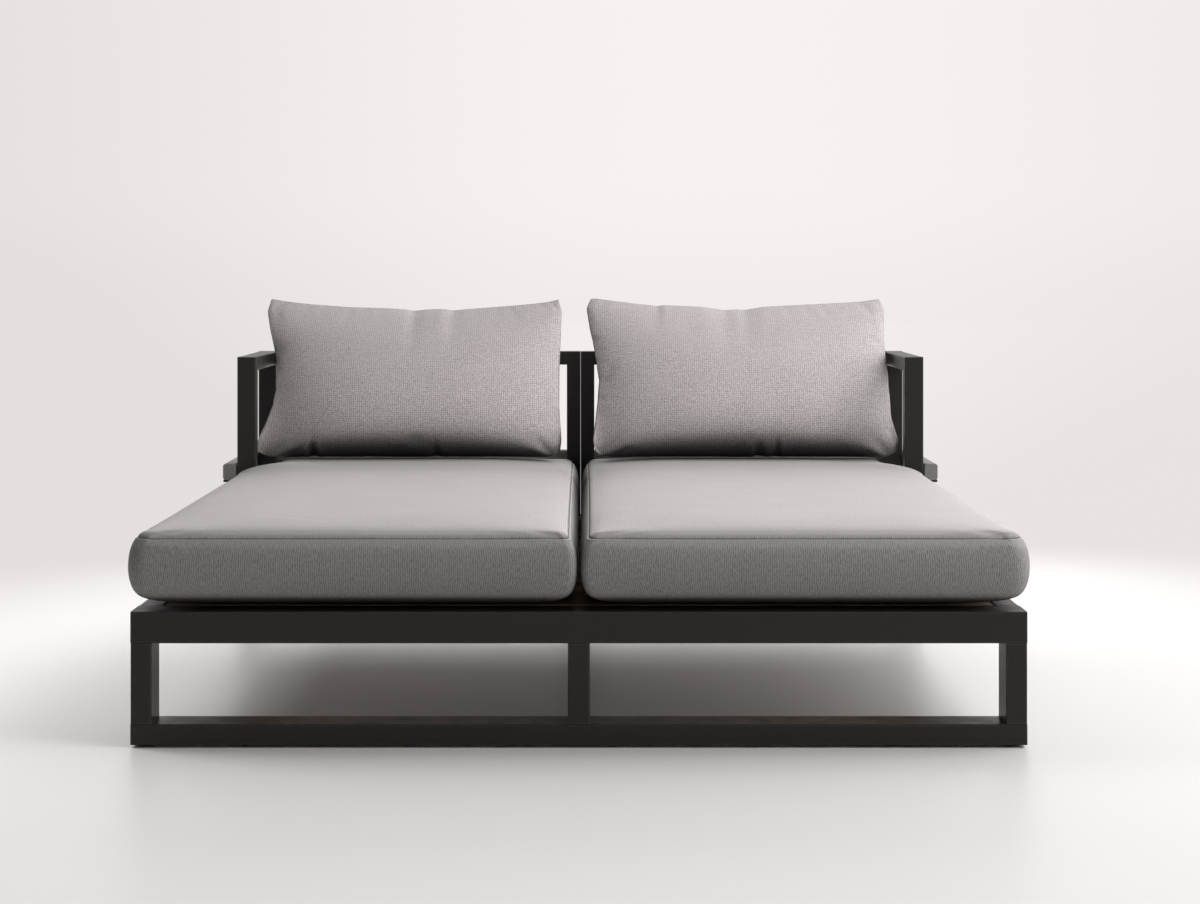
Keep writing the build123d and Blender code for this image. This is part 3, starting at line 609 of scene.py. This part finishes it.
# shallow creases of the top panel: start, end and depth on the right-hand cushion
seatCreases = {
    "left": [((0.05, 0.1), (0.2, 0.02), 0.0009), ((0.04, 0.3), (0.17, 0.24), 0.0009),
             ((0.5, -0.74), (0.62, -0.69), 0.0008), ((0.74, 0.05), (0.8, 0.18), 0.0008)],
    "right": [((0.03, -0.17), (0.19, -0.03), 0.0013), ((0.03, -0.05), (0.15, 0.06), 0.0011),
              ((0.035, 0.1), (0.26, 0.24), 0.0012), ((0.03, 0.26), (0.13, 0.33), 0.0009),
              ((0.3, 0.34), (0.42, 0.37), 0.0008), ((0.72, -0.4), (0.81, -0.3), 0.0008)],
}
creaseLook = {"bend": 0.012, "bendTurn": 3.3, "startFade": (0.02, 0.04), "endFade": (0.05, 0.09),
              "width": 0.006, "ridge": 0.5, "ridgeOff": 0.013, "ridgeWidth": 0.008}


def arc(cx, cy, radius, start, end, steps):
    angles = np.radians(np.linspace(start, end, steps + 1))[:-1]
    return [(cx + radius * math.cos(a), cy + radius * math.sin(a)) for a in angles]


def straight(first, last, steps):
    return [(first[0] + (last[0] - first[0]) * k / steps, first[1] + (last[1] - first[1]) * k / steps)
            for k in range(steps)]


# steps of the outline: half a corner, the front, the outer side, the corner, step and inside of the notch,
# and the side behind it
seatCounts = {"half": 5, "front": 60, "outer": 98, "turn": 8, "step": 3, "notch": 6, "rear": 25}


def seatOutline(inset):
    # the plan at one height, in four sides that meet in the middles of the corners
    s, n = seat, seatCounts
    tightened = 1 - s["tighten"] * min(1, inset / s["tightenReach"])
    rf, rb, rn = s["frontRadius"] * tightened, s["backRadius"] * tightened, s["notchRadius"]
    ri = s["innerRadius"] * tightened
    x0, x1, xn = s["innerX"] + inset, s["outerX"] - inset, s["notchX"] - inset
    y0, yn, y1 = s["frontY"] + inset, s["notchY"] - inset, s["backY"] - inset
    front = (arc(x0 + ri, y0 + ri, ri, 225, 270, n["half"])
             + straight((x0 + ri, y0), (x1 - rf, y0), n["front"])
             + arc(x1 - rf, y0 + rf, rf, 270, 315, n["half"]))
    outer = (arc(x1 - rf, y0 + rf, rf, 315, 360, n["half"])
             + straight((x1, y0 + rf), (x1, yn - rb), n["outer"])
             + arc(x1 - rb, yn - rb, rb, 0, 90, n["turn"])
             + straight((x1 - rb, yn), (xn + rn, yn), n["step"])
             + arc(xn + rn, yn + rn, rn, 270, 180, n["notch"])
             + straight((xn, yn + rn), (xn, y1 - rb), n["rear"])
             + arc(xn - rb, y1 - rb, rb, 0, 45, n["half"]))
    back = (arc(xn - rb, y1 - rb, rb, 45, 90, n["half"])
            + straight((xn - rb, y1), (x0 + rb, y1), n["front"])
            + arc(x0 + rb, y1 - rb, rb, 90, 135, n["half"]))
    notchSteps = n["turn"] + n["step"] + n["notch"]
    inner = (arc(x0 + rb, y1 - rb, rb, 135, 180, n["half"])
             + straight((x0, y1 - rb), (x0, yn + rn), n["rear"])
             + straight((x0, yn + rn), (x0, yn - rb), notchSteps)
             + straight((x0, yn - rb), (x0, y0 + ri), n["outer"])
             + arc(x0 + ri, y0 + ri, ri, 180, 225, n["half"]))
    return front, outer, back, inner


def seatLevels():
    # (height, inset) of each ring, from the foot to the rim of the top panel
    s = seat
    levels = list(s["foot"])
    waist, seamHeight = s["foot"][-1][0], s["seamHeight"]
    for share in s["wallShares"]:
        levels.append((waist + (seamHeight - waist) * share, s["seamInset"] * share ** s["wallCurve"]))
    seamRow = len(levels) + s["seamSteps"].index(0.0)
    for step in s["seamSteps"]:
        levels.append((seamHeight + step, s["seamInset"] + step * s["seamLean"]))
    start = math.radians(s["edgeStart"])
    for angle in np.radians(s["edgeAngles"]):
        levels.append((seamHeight + s["edgeRadius"] * (math.sin(angle) - math.sin(start)),
                       s["seamInset"] + s["edgeRadius"] * (math.cos(start) - math.cos(angle))))
    return levels, seamRow


def crownAt(x, y):
    # rise of the top panel over its rim, from the distance to each side
    s = seat
    away = (x - s["innerX"], np.where(y > s["notchY"], s["notchX"], s["outerX"]) - x,
            y - s["frontY"], s["backY"] - y)
    rise = np.full_like(x, s["crownRise"])
    for distance in away:
        share = np.clip((distance - s["crownStart"]) / s["crownReach"], 0, 1)
        rise = rise * (1 - (1 - share) ** 2)
    return rise


def gridPatch(bottom, right, top, left):
    # a grid spanned by four sides; every side is an array of points with both its ends
    nu, nv = len(bottom), len(right)
    u = np.linspace(0, 1, nu)[:, None, None]
    v = np.linspace(0, 1, nv)[None, :, None]
    ruled = (1 - v) * bottom[:, None] + v * top[:, None] + (1 - u) * left[None] + u * right[None]
    corners = ((1 - u) * (1 - v) * bottom[0] + u * (1 - v) * bottom[-1]
               + (1 - u) * v * top[0] + u * v * top[-1])
    return ruled - corners


def seatRings(levels):
    # the rings' points, the numbers of each ring's points, and the run along the widest plan
    points, rows = [], []
    for height, inset in levels:
        ring = [p for side in seatOutline(inset) for p in side]
        rows.append(range(len(points), len(points) + len(ring)))
        points += [(x, y, seat["bottomZ"] + height) for x, y in ring]
    wide = np.array([p for side in seatOutline(0) for p in side])
    run = np.concatenate([[0], np.cumsum(np.linalg.norm(np.roll(wide, -1, 0) - wide, axis=1))])
    return points, rows, run


def seatWall(levels, rows, run, seamRow):
    # quads between the rings; below the seam the threads follow the wall
    climb = [0.0]
    for (h0, i0), (h1, i1) in zip(levels, levels[1:]):
        climb.append(climb[-1] + math.hypot(h1 - h0, i1 - i0))
    around = len(rows[0])
    faces, faceUv = [], []
    for k in range(len(rows) - 1):
        for i in range(around):
            j = (i + 1) % around
            faces.append((rows[k][i], rows[k][j], rows[k + 1][j], rows[k + 1][i]))
            uv = ((run[i], climb[k]), (run[i + 1], climb[k]),
                  (run[i + 1], climb[k + 1]), (run[i], climb[k + 1]))
            faceUv.append(uv if k < seamRow else None)
    return faces, faceUv


def seatPanel(points, row, upward):
    # the top panel or the bottom: a grid between the four sides of one ring
    n = seatCounts
    around = len(row)
    across = n["front"] + 2 * n["half"]
    along = around // 2 - across
    ends = [0, across, across + along, 2 * across + along, around]
    sideIds = [[row[i % around] for i in range(a, b + 1)] for a, b in zip(ends, ends[1:])]
    bottom, right, top, left = sideIds[0], sideIds[1], sideIds[2][::-1], sideIds[3][::-1]
    place = np.array(points)
    patch = gridPatch(place[bottom], place[right], place[top], place[left])
    ids = np.zeros((across + 1, along + 1), int)
    ids[:, 0], ids[-1, :], ids[:, -1], ids[0, :] = bottom, right, top, left
    for i in range(1, across):
        for j in range(1, along):
            ids[i, j] = len(points)
            points.append(tuple(patch[i, j]))
    faces = []
    for i in range(across):
        for j in range(along):
            quad = (ids[i, j], ids[i + 1, j], ids[i + 1, j + 1], ids[i, j + 1])
            faces.append(tuple(int(q) for q in (quad if upward else quad[::-1])))
    return faces


def seatMesh(name, sign):
    levels, seamRow = seatLevels()
    points, rows, run = seatRings(levels)
    faces, faceUv = seatWall(levels, rows, run, seamRow)
    for row, upward in ((rows[-1], True), (rows[0], False)):
        panel = seatPanel(points, row, upward)
        faces += panel
        faceUv += [None] * len(panel)
    points = np.array(points)
    topPoints = points[:, 2] >= seat["bottomZ"] + levels[-1][0] - slack
    points[topPoints, 2] += crownAt(points[topPoints, 0], points[topPoints, 1])
    points[:, 0] *= sign
    if sign < 0:
        faces = [face[::-1] for face in faces]
        faceUv = [uv and uv[::-1] for uv in faceUv]
    mesh = bpy.data.meshes.new(name)
    mesh.from_pydata(points.tolist(), [], faces)
    uvLayer = mesh.uv_layers.new(name="cloth")
    # the panels' threads run straight, so the cloth is the plan itself
    flat = []
    for face, uv in zip(faces, faceUv):
        for corner, vertex in enumerate(face):
            flat += uv[corner] if uv else (points[vertex, 0], points[vertex, 1])
    uvLayer.data.foreach_set("uv", flat)
    return mesh, rows, seamRow


clothRun = {"frames": 20, "quality": 5, "mass": 0.3}


def inflate(pieces):
    # pressure in the cloth, gravity off; all the pieces are stepped together
    for obj, look in pieces:
        cloth = obj.modifiers.new("inflate", "CLOTH")
        settings = cloth.settings
        settings.quality = clothRun["quality"]
        settings.mass = clothRun["mass"]
        settings.tension_stiffness = look["tension"]
        settings.compression_stiffness = look["tension"]
        settings.shear_stiffness = look["shear"]
        settings.bending_stiffness = look["bending"]
        settings.use_pressure = True
        settings.uniform_pressure_force = look["pressure"]
        settings.shrink_min = look["shrink"]
        settings.effector_weights.gravity = 0
        settings.vertex_group_mass = "hold"
        settings.pin_stiffness = look["hold"]
        cloth.collision_settings.use_collision = False
        cloth.collision_settings.use_self_collision = False
        cloth.point_cache.frame_start = 1
        cloth.point_cache.frame_end = clothRun["frames"]
    for step in range(1, clothRun["frames"] + 1):
        scene.frame_set(step)
    graph = bpy.context.evaluated_depsgraph_get()
    moved = {obj.name: meshPoints(obj.evaluated_get(graph).data) for obj, look in pieces}
    for obj, look in pieces:
        obj.modifiers.clear()
    scene.frame_set(1)
    return moved


def meshPoints(mesh):
    place = np.zeros(len(mesh.vertices) * 3)
    mesh.vertices.foreach_get("co", place)
    return place.reshape(-1, 3)


def setPoints(mesh, place):
    mesh.vertices.foreach_set("co", np.asarray(place, float).ravel())
    mesh.update()


def softMove(start, end, cap):
    # from start towards end, the further the less, and never past the cap
    move = end - start
    length = np.linalg.norm(move, axis=1)[:, None] + tiny
    return start + move / length * cap * (1 - np.exp(-length / cap))


def pressFlat(values, limit, soft):
    # values may not pass the limit; the last bit before it is eased
    over = values - (limit - soft)
    return np.where(over > 0, limit - soft * np.exp(-np.clip(over, 0, None) / soft), values)


def subdivided(obj):
    # one subdivision, applied
    step = obj.modifiers.new("smooth", "SUBSURF")
    step.levels = step.render_levels = 1
    graph = bpy.context.evaluated_depsgraph_get()
    made = bpy.data.meshes.new_from_object(obj.evaluated_get(graph), preserve_all_data_layers=True,
                                           depsgraph=graph)
    obj.modifiers.clear()
    obj.data = made
    made.shade_smooth()


def addFloat(mesh, name, values):
    mesh.attributes.new(name, "FLOAT", "POINT").data.foreach_set("value", np.asarray(values, float))


def makeSeat(side, sign):
    s = seat
    mesh, rows, seamRow = seatMesh(f"seatCushion_{side}", sign)
    obj = bpy.data.objects.new(f"seatCushion_{side}", mesh)
    scene.collection.objects.link(obj)
    mesh.materials.append(seatFabric)
    target = meshPoints(mesh)
    # the swelling starts from a slightly slimmer cushion
    place = target.copy()
    heights = place[:, 2] - s["bottomZ"]
    slim = s["slim"] * np.clip(heights / s["seamHeight"], 0, 1)
    middleX = sign * (s["innerX"] + s["notchX"]) / 2
    place[:, 0] -= np.clip((place[:, 0] - middleX) / s["slimReachX"], -1, 1) * slim
    place[:, 1] -= np.clip(place[:, 1] / s["slimReachY"], -1, 1) * slim
    place[:, 2] -= slim
    # what rests on the boards is held, the seam is held a little, the rest only lightly
    hold = np.where(heights < s["heldHeight"], 1.0, s["lightHold"])
    hold[list(rows[seamRow])] = s["seamHold"]
    group = obj.vertex_groups.new(name="hold")
    for value in np.unique(hold):
        group.add([int(k) for k in np.flatnonzero(hold == value)], float(value), "REPLACE")
    setPoints(mesh, place)
    return obj, rows, seamRow, target


def clearOfNeighbours(x, y, z):
    # room for the other cushion, the posts and the back rails, and a flat foot
    s = seat
    x = -pressFlat(-x, -s["innerX"], s["ease"])
    y = pressFlat(y, s["backY"], s["ease"])
    behind = (y > s["notchY"] + s["behindY"]) & (x > s["notchX"] - s["behindX"])
    x = np.where(behind, pressFlat(x, s["notchX"] + s["postRoom"], s["ease"]), x)
    beside = (x > s["notchX"] + s["besideX"]) & (y > s["notchY"] - s["besideY"])
    y = np.where(beside, pressFlat(y, s["notchY"] + s["postRoom"], s["ease"]), y)
    return x, y, np.maximum(z, s["bottomZ"])


def topRelief(side, x, y, z):
    # slow undulation, the shoulders by the arm posts and a few shallow creases in the top panel
    s, c = seat, creaseLook
    top = np.clip((z - s["bottomZ"] - s["seamHeight"]) / s["topFade"], 0, 1)
    scale, seed = s["waveScale"], s["waveSeed"][side]
    wave = np.array([noise.noise(Vector((a * scale, b * scale, seed))) for a, b in zip(x, y)])
    z = z + wave * s["undulation"] * top
    for shoulderX, shoulderY, reach, rise in s["shoulders"]:
        z = z + rise * np.exp(-((x - shoulderX) ** 2 + (y - shoulderY) ** 2) / reach ** 2) * top
    for (x0, y0), (x1, y1), depth in seatCreases[side]:
        run = np.array([x1 - x0, y1 - y0])
        long = np.linalg.norm(run)
        along = ((x - x0) * run[0] + (y - y0) * run[1]) / long
        bend = c["bend"] * np.sin(np.clip(along / long, 0, 1) * c["bendTurn"])
        off = ((x - x0) * run[1] - (y - y0) * run[0]) / long + bend
        (startReach, startFade), (endReach, endFade) = c["startFade"], c["endFade"]
        ends = (np.clip((along + startReach) / startFade, 0, 1)
                * np.clip((long + endReach - along) / endFade, 0, 1))
        valley = np.exp(-(off / c["width"]) ** 2)
        ridge = c["ridge"] * np.exp(-((off - c["ridgeOff"]) / c["ridgeWidth"]) ** 2)
        z = z - depth * top * ends * (valley - ridge)
    return z


def finishSeat(side, sign, obj, rows, seamRow, target, puffed):
    s = seat
    mesh = obj.data
    place = target if puffed is None else softMove(meshPoints(mesh), puffed, s["cap"])
    x, y, z = clearOfNeighbours(place[:, 0] * sign, place[:, 1], place[:, 2])
    z = topRelief(side, x, y, z)
    place = np.stack([x * sign, y, z], 1)
    # the seam pulls its row in, with small puckers along it
    seam = np.zeros(len(place))
    seam[list(rows[seamRow])] = 1.0
    scale, seed = s["puckerScale"], s["waveSeed"][side]
    for row, share in s["grooveRows"]:
        ids = np.array(list(rows[seamRow + row]))
        ring = place[ids]
        step = np.roll(ring, -1, 0)[:, :2] - np.roll(ring, 1, 0)[:, :2]
        outward = np.stack([step[:, 1], -step[:, 0]], 1) * sign
        outward /= np.linalg.norm(outward, axis=1)[:, None] + tiny
        ripple = np.array([noise.noise(Vector((a * scale, b * scale, seed))) for a, b in ring[:, :2]])
        pull = s["grooveDepth"] * share + s["pucker"] * ripple
        place[ids, :2] -= outward * pull[:, None]
        place[ids, 2] -= pull * s["grooveDrop"]
    setPoints(mesh, place)
    addFloat(mesh, "seam", seam)


# back pillows: knife-edged, drawn in between blunt corners, slack enough to pucker at the seam

pillow = {
    "seatTopZ": 0.4206, "seatEase": 0.004, "railFrontY": 0.7902, "railEase": 0.01,
    # the side seams lean from the ear at the bottom to the corner at the top
    "earHeight": 0.446, "earDepth": 0.592, "cornerHeight": 0.826, "cornerDepth": 0.775, "leanCurve": 1.15,
    # the middle section as (Y, Z), from the bottom seam up to the top seam
    "front": [(0.66, 0.4212), (0.645, 0.4213), (0.628, 0.4222), (0.611, 0.427), (0.597, 0.435),
              (0.585, 0.4475), (0.576, 0.463), (0.57, 0.483), (0.568, 0.505), (0.568, 0.53), (0.571, 0.555),
              (0.578, 0.58), (0.591, 0.61), (0.611, 0.648), (0.636, 0.686), (0.666, 0.724), (0.701, 0.757),
              (0.736, 0.784), (0.766, 0.8005)],
    "back": [(0.66, 0.4212), (0.69, 0.4235), (0.72, 0.437), (0.745, 0.46), (0.763, 0.495), (0.775, 0.54),
             (0.783, 0.59), (0.788, 0.64), (0.7895, 0.68), (0.789, 0.72), (0.786, 0.755), (0.779, 0.785),
             (0.766, 0.8005)],
    # how fast the filling and the height fall off towards the side seams, as (power, root)
    "fullness": (2.6, 0.62), "heightFall": (22, 0.8), "topShare": 0.5, "topCurve": 1.5,
    "across": 96, "tall": 64, "uvHeight": 0.25, "uvBack": 2.0, "seamShade": 0.8,
    "inflate": {"tension": 15, "shear": 5, "bending": 5.0, "pressure": 4.0, "shrink": -0.003, "hold": 1.0},
    "cap": 0.005,
}
gatherLook = {"topZ": 0.802, "bottomZ": 0.435, "narrowing": 0.35, "narrowReach": 1.5, "creaseWidth": 0.4,
              "puffPlace": 0.9, "puffWidth": 0.5, "puffShare": 0.35, "pull": 0.3}
# side edges as (share of the height, X), the top seam as (X, Z), sideX where the gathers of the side seams
# start, and gathers as (edge, place, width, reach, depth)
pillowLooks = {
    "left": {
        "low": [(-1, -0.825), (-0.93, -0.827), (-0.8, -0.822), (-0.63, -0.808), (-0.42, -0.794),
                (-0.2, -0.787), (0.07, -0.7895), (0.32, -0.797), (0.6, -0.813), (0.83, -0.8226), (1, -0.814)],
        "high": [(-1, -0.05), (-0.85, -0.047), (-0.4, -0.053), (0, -0.053), (0.5, -0.05), (0.83, -0.048),
                 (1, -0.058)],
        "top": [(-0.8126, 0.8265), (-0.79, 0.822), (-0.714, 0.8132), (-0.606, 0.8053), (-0.5, 0.802),
                (-0.46, 0.8), (-0.438, 0.7948), (-0.41, 0.799), (-0.364, 0.801), (-0.335, 0.7961),
                (-0.3, 0.8), (-0.183, 0.8087), (-0.09, 0.817), (-0.0594, 0.8211)],
        "sideX": {"low": -0.794, "high": -0.053},
        "gathers": [("top", -0.438, 0.022, 0.01, 0.003), ("top", -0.335, 0.018, 0.01, 0.003),
                    ("top", -0.47, 0.016, 0.009, 0.003),
                    ("bottom", -0.685, 0.02, 0.024, 0.013), ("bottom", -0.37, 0.024, 0.02, 0.009),
                    ("low", 0.6, 0.018, 0.03, 0.006), ("low", 0.56, 0.014, 0.022, 0.005),
                    ("low", 0.65, 0.014, 0.022, 0.004), ("high", 0.52, 0.03, 0.025, 0.003)],
    },
    "right": {
        "low": [(-1, 0.036), (-0.85, 0.031), (-0.45, 0.04), (-0.09, 0.046), (0.3, 0.035), (0.6, 0.022),
                (0.87, 0.014), (1, 0.026)],
        "high": [(-1, 0.81), (-0.85, 0.813), (-0.55, 0.798), (0, 0.797), (0.43, 0.792), (0.87, 0.797),
                 (1, 0.786)],
        "top": [(0.03, 0.83), (0.06, 0.825), (0.1325, 0.8158), (0.19, 0.8095), (0.2035, 0.8079),
                (0.214, 0.811), (0.3218, 0.8058), (0.36, 0.7995), (0.38, 0.797), (0.405, 0.8), (0.43, 0.7974),
                (0.4743, 0.8058), (0.6163, 0.8132), (0.7372, 0.8192), (0.7845, 0.8255)],
        "sideX": {"low": 0.035, "high": 0.798},
        "gathers": [("top", 0.2035, 0.018, 0.01, 0.003), ("top", 0.38, 0.02, 0.011, 0.0035),
                    ("top", 0.43, 0.018, 0.011, 0.0045), ("bottom", 0.455, 0.018, 0.026, 0.014),
                    ("bottom", 0.5, 0.016, 0.024, 0.012), ("low", 0.72, 0.016, 0.025, 0.005),
                    ("low", 0.665, 0.014, 0.022, 0.006), ("low", 0.62, 0.014, 0.025, 0.006),
                    ("low", 0.57, 0.016, 0.03, 0.006), ("high", 0.6, 0.03, 0.025, 0.003)],
    },
}


def spread(count):
    # steps that close up towards both ends
    t = np.linspace(-1, 1, count + 1)
    return 0.5 * np.sin(t * math.pi / 2) + 0.5 * t


def smoothCurve(points, at, steps=12):
    # a smooth line through a few points, a cubic between each two, read at shares of its length from -1 to 1
    points = np.array(points)
    ends = np.concatenate([[2 * points[0] - points[1]], points, [2 * points[-1] - points[-2]]])
    fine = []
    for a, b, c, d in zip(ends, ends[1:], ends[2:], ends[3:]):
        for t in np.linspace(0, 1, steps, endpoint=False):
            fine.append(0.5 * (2 * b + (c - a) * t + (2 * a - 5 * b + 4 * c - d) * t ** 2
                               + (3 * b - a - 3 * c + d) * t ** 3))
    fine = np.array(fine + [points[-1]])
    run = np.concatenate([[0], np.cumsum(np.linalg.norm(np.diff(fine, axis=0), axis=1))])
    share = (np.asarray(at) + 1) / 2 * run[-1]
    return np.stack([np.interp(share, run, fine[:, k]) for k in (0, 1)], -1)


def smoothLine(points, at, samples=400, edge=9):
    # a smooth height over a few measured places
    places, heights = np.array(points).T
    fine = np.linspace(places[0], places[-1], samples)
    blurred = np.interp(fine, places, heights)
    padded = np.concatenate([2 * blurred[0] - blurred[edge:0:-1], blurred,
                             2 * blurred[-1] - blurred[-2:-edge - 2:-1]])
    window = np.hanning(2 * edge + 1)
    blurred = np.convolve(padded, window / window.sum(), "valid")
    return np.interp(at, fine, blurred)


def falloff(u, curve):
    # 1 in the middle, 0 at both side seams
    power, root = curve
    return np.clip(1 - np.abs(u) ** power, 0, 1) ** root


def rimOf(ids):
    return np.concatenate([ids[0, 0], ids[0, -1], ids[0, :, 0], ids[0, :, -1]])


def pillowSheets(look):
    # a front and a back sheet that share their rim
    p = pillow
    nu, nv = p["across"], p["tall"]
    uLine, vLine = spread(nu), spread(nv)
    u, v = np.meshgrid(uLine, vLine, indexing="ij")
    across = (smoothLine(look["low"], vLine) * (1 - u) + smoothLine(look["high"], vLine) * (1 + u)) / 2
    climb = (v + 1) / 2
    sideDepth = p["earDepth"] + (p["cornerDepth"] - p["earDepth"]) * climb ** p["leanCurve"]
    sideHeight = p["earHeight"] + (p["cornerHeight"] - p["earHeight"]) * climb
    fullness = falloff(u, p["fullness"])
    topShift = smoothLine(look["top"], across) - p["front"][-1][1]
    topPart = np.clip(climb - p["topShare"], 0, 1) ** p["topCurve"]
    points, ids = [], np.zeros((2, nu + 1, nv + 1), int)
    for sheet, line in ((0, "front"), (1, "back")):
        section = smoothCurve(p[line], vLine)
        deep = sideDepth + (section[None, :, 0] - sideDepth) * fullness
        tall = section[None, :, 1] + topShift * topPart / p["topShare"] ** p["topCurve"]
        tall = sideHeight + (tall - sideHeight) * falloff(u, p["heightFall"])
        for i in range(nu + 1):
            for j in range(nv + 1):
                if sheet == 1 and (i in (0, nu) or j in (0, nv)):
                    ids[1, i, j] = ids[0, i, j]
                    continue
                ids[sheet, i, j] = len(points)
                points.append((across[i, j], deep[i, j], tall[i, j]))
    return points, ids, across, vLine


def pillowFaces(ids, across, vLine):
    # quads of both sheets, with the cloth's threads along the room's X and the pillow's height
    faces, uvs = [], []
    for sheet in (0, 1):
        for i in range(ids.shape[1] - 1):
            for j in range(ids.shape[2] - 1):
                corners = [(i, j), (i + 1, j), (i + 1, j + 1), (i, j + 1)]
                if sheet == 1:
                    corners = corners[::-1]
                faces.append(tuple(int(ids[sheet][c]) for c in corners))
                uvs += [(across[c] + pillow["uvBack"] * sheet, vLine[c[1]] * pillow["uvHeight"])
                        for c in corners]
    return faces, uvs


def makePillow(side, look):
    points, ids, across, vLine = pillowSheets(look)
    faces, uvs = pillowFaces(ids, across, vLine)
    mesh = bpy.data.meshes.new(f"backPillow_{side}")
    mesh.from_pydata(points, [], faces)
    mesh.uv_layers.new(name="cloth").data.foreach_set("uv", np.array(uvs).ravel())
    mesh.materials.append(pillowFabric)
    obj = bpy.data.objects.new(f"backPillow_{side}", mesh)
    scene.collection.objects.link(obj)
    hold = obj.vertex_groups.new(name="hold")
    hold.add([int(k) for k in np.unique(rimOf(ids))], 1.0, "REPLACE")
    return obj, ids


def finishPillow(obj, look, ids, puffed):
    # gathers at the seam; then it rests against the rail and on the seat
    p, g = pillow, gatherLook
    place = meshPoints(obj.data)
    if puffed is not None:
        place = softMove(place, puffed, p["cap"])
    front = np.ones(len(place))
    front[ids[1].ravel()] = -1
    front[ids[0].ravel()] = 1
    for where, at, width, reach, depth in look["gathers"]:
        if where == "top":
            along, away = place[:, 0] - at, g["topZ"] - place[:, 2]
            inward = np.array([0, 0, -1.0])
        elif where == "bottom":
            along, away = place[:, 0] - at, place[:, 2] - g["bottomZ"]
            inward = np.array([0, 0, 1.0])
        else:
            along, away = place[:, 2] - at, np.abs(place[:, 0] - look["sideX"][where])
            inward = np.array([1.0 if where == "low" else -1.0, 0, 0])
        away = np.clip(away, 0, None)
        fan = width * (1 - g["narrowing"] * np.clip(away / reach, 0, g["narrowReach"]))
        fade = np.exp(-away / reach)
        crease = np.exp(-(along / (fan * g["creaseWidth"])) ** 2) * fade
        puff = np.exp(-((np.abs(along) - fan * g["puffPlace"]) / (fan * g["puffWidth"])) ** 2) * fade
        place[:, 1] -= front * (puff * g["puffShare"] - crease) * depth
        place += inward * (crease * depth * g["pull"])[:, None]
    place[:, 1] = pressFlat(place[:, 1], p["railFrontY"], p["railEase"])
    place[:, 2] = -pressFlat(-place[:, 2], -p["seatTopZ"], p["seatEase"])
    setPoints(obj.data, place)
    # painted shadow: the rim along the knife edge is marked to be darkened
    rim = np.zeros(len(place))
    rim[rimOf(ids)] = p["seamShade"]
    addFloat(obj.data, "seam", rim)


seatParts = {side: makeSeat(side, sign) for side, sign in sides.items()}
pillowParts = {side: makePillow(side, look) for side, look in pillowLooks.items()}
puffed = {}
puffed = inflate([(parts[0], seat["inflate"]) for parts in seatParts.values()]
                 + [(parts[0], pillow["inflate"]) for parts in pillowParts.values()])
print("cloth inflated")
for side, (obj, rows, seamRow, target) in seatParts.items():
    finishSeat(side, sides[side], obj, rows, seamRow, target, puffed.get(obj.name))
for side, (obj, ids) in pillowParts.items():
    finishPillow(obj, pillowLooks[side], ids, puffed.get(obj.name))
seats = {side: parts[0] for side, parts in seatParts.items()}
backPillows = {side: parts[0] for side, parts in pillowParts.items()}
print("cushions shaped")

for side, obj in seats.items():
    subdivided(obj)
    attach(obj, f"seat_cushion_{side}")
    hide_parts(f"seat_cushion_{side}")
for side, obj in backPillows.items():
    subdivided(obj)
    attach(obj, f"back_pillow_{side}")
    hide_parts(f"back_pillow_{side}")
print("cushions finished")
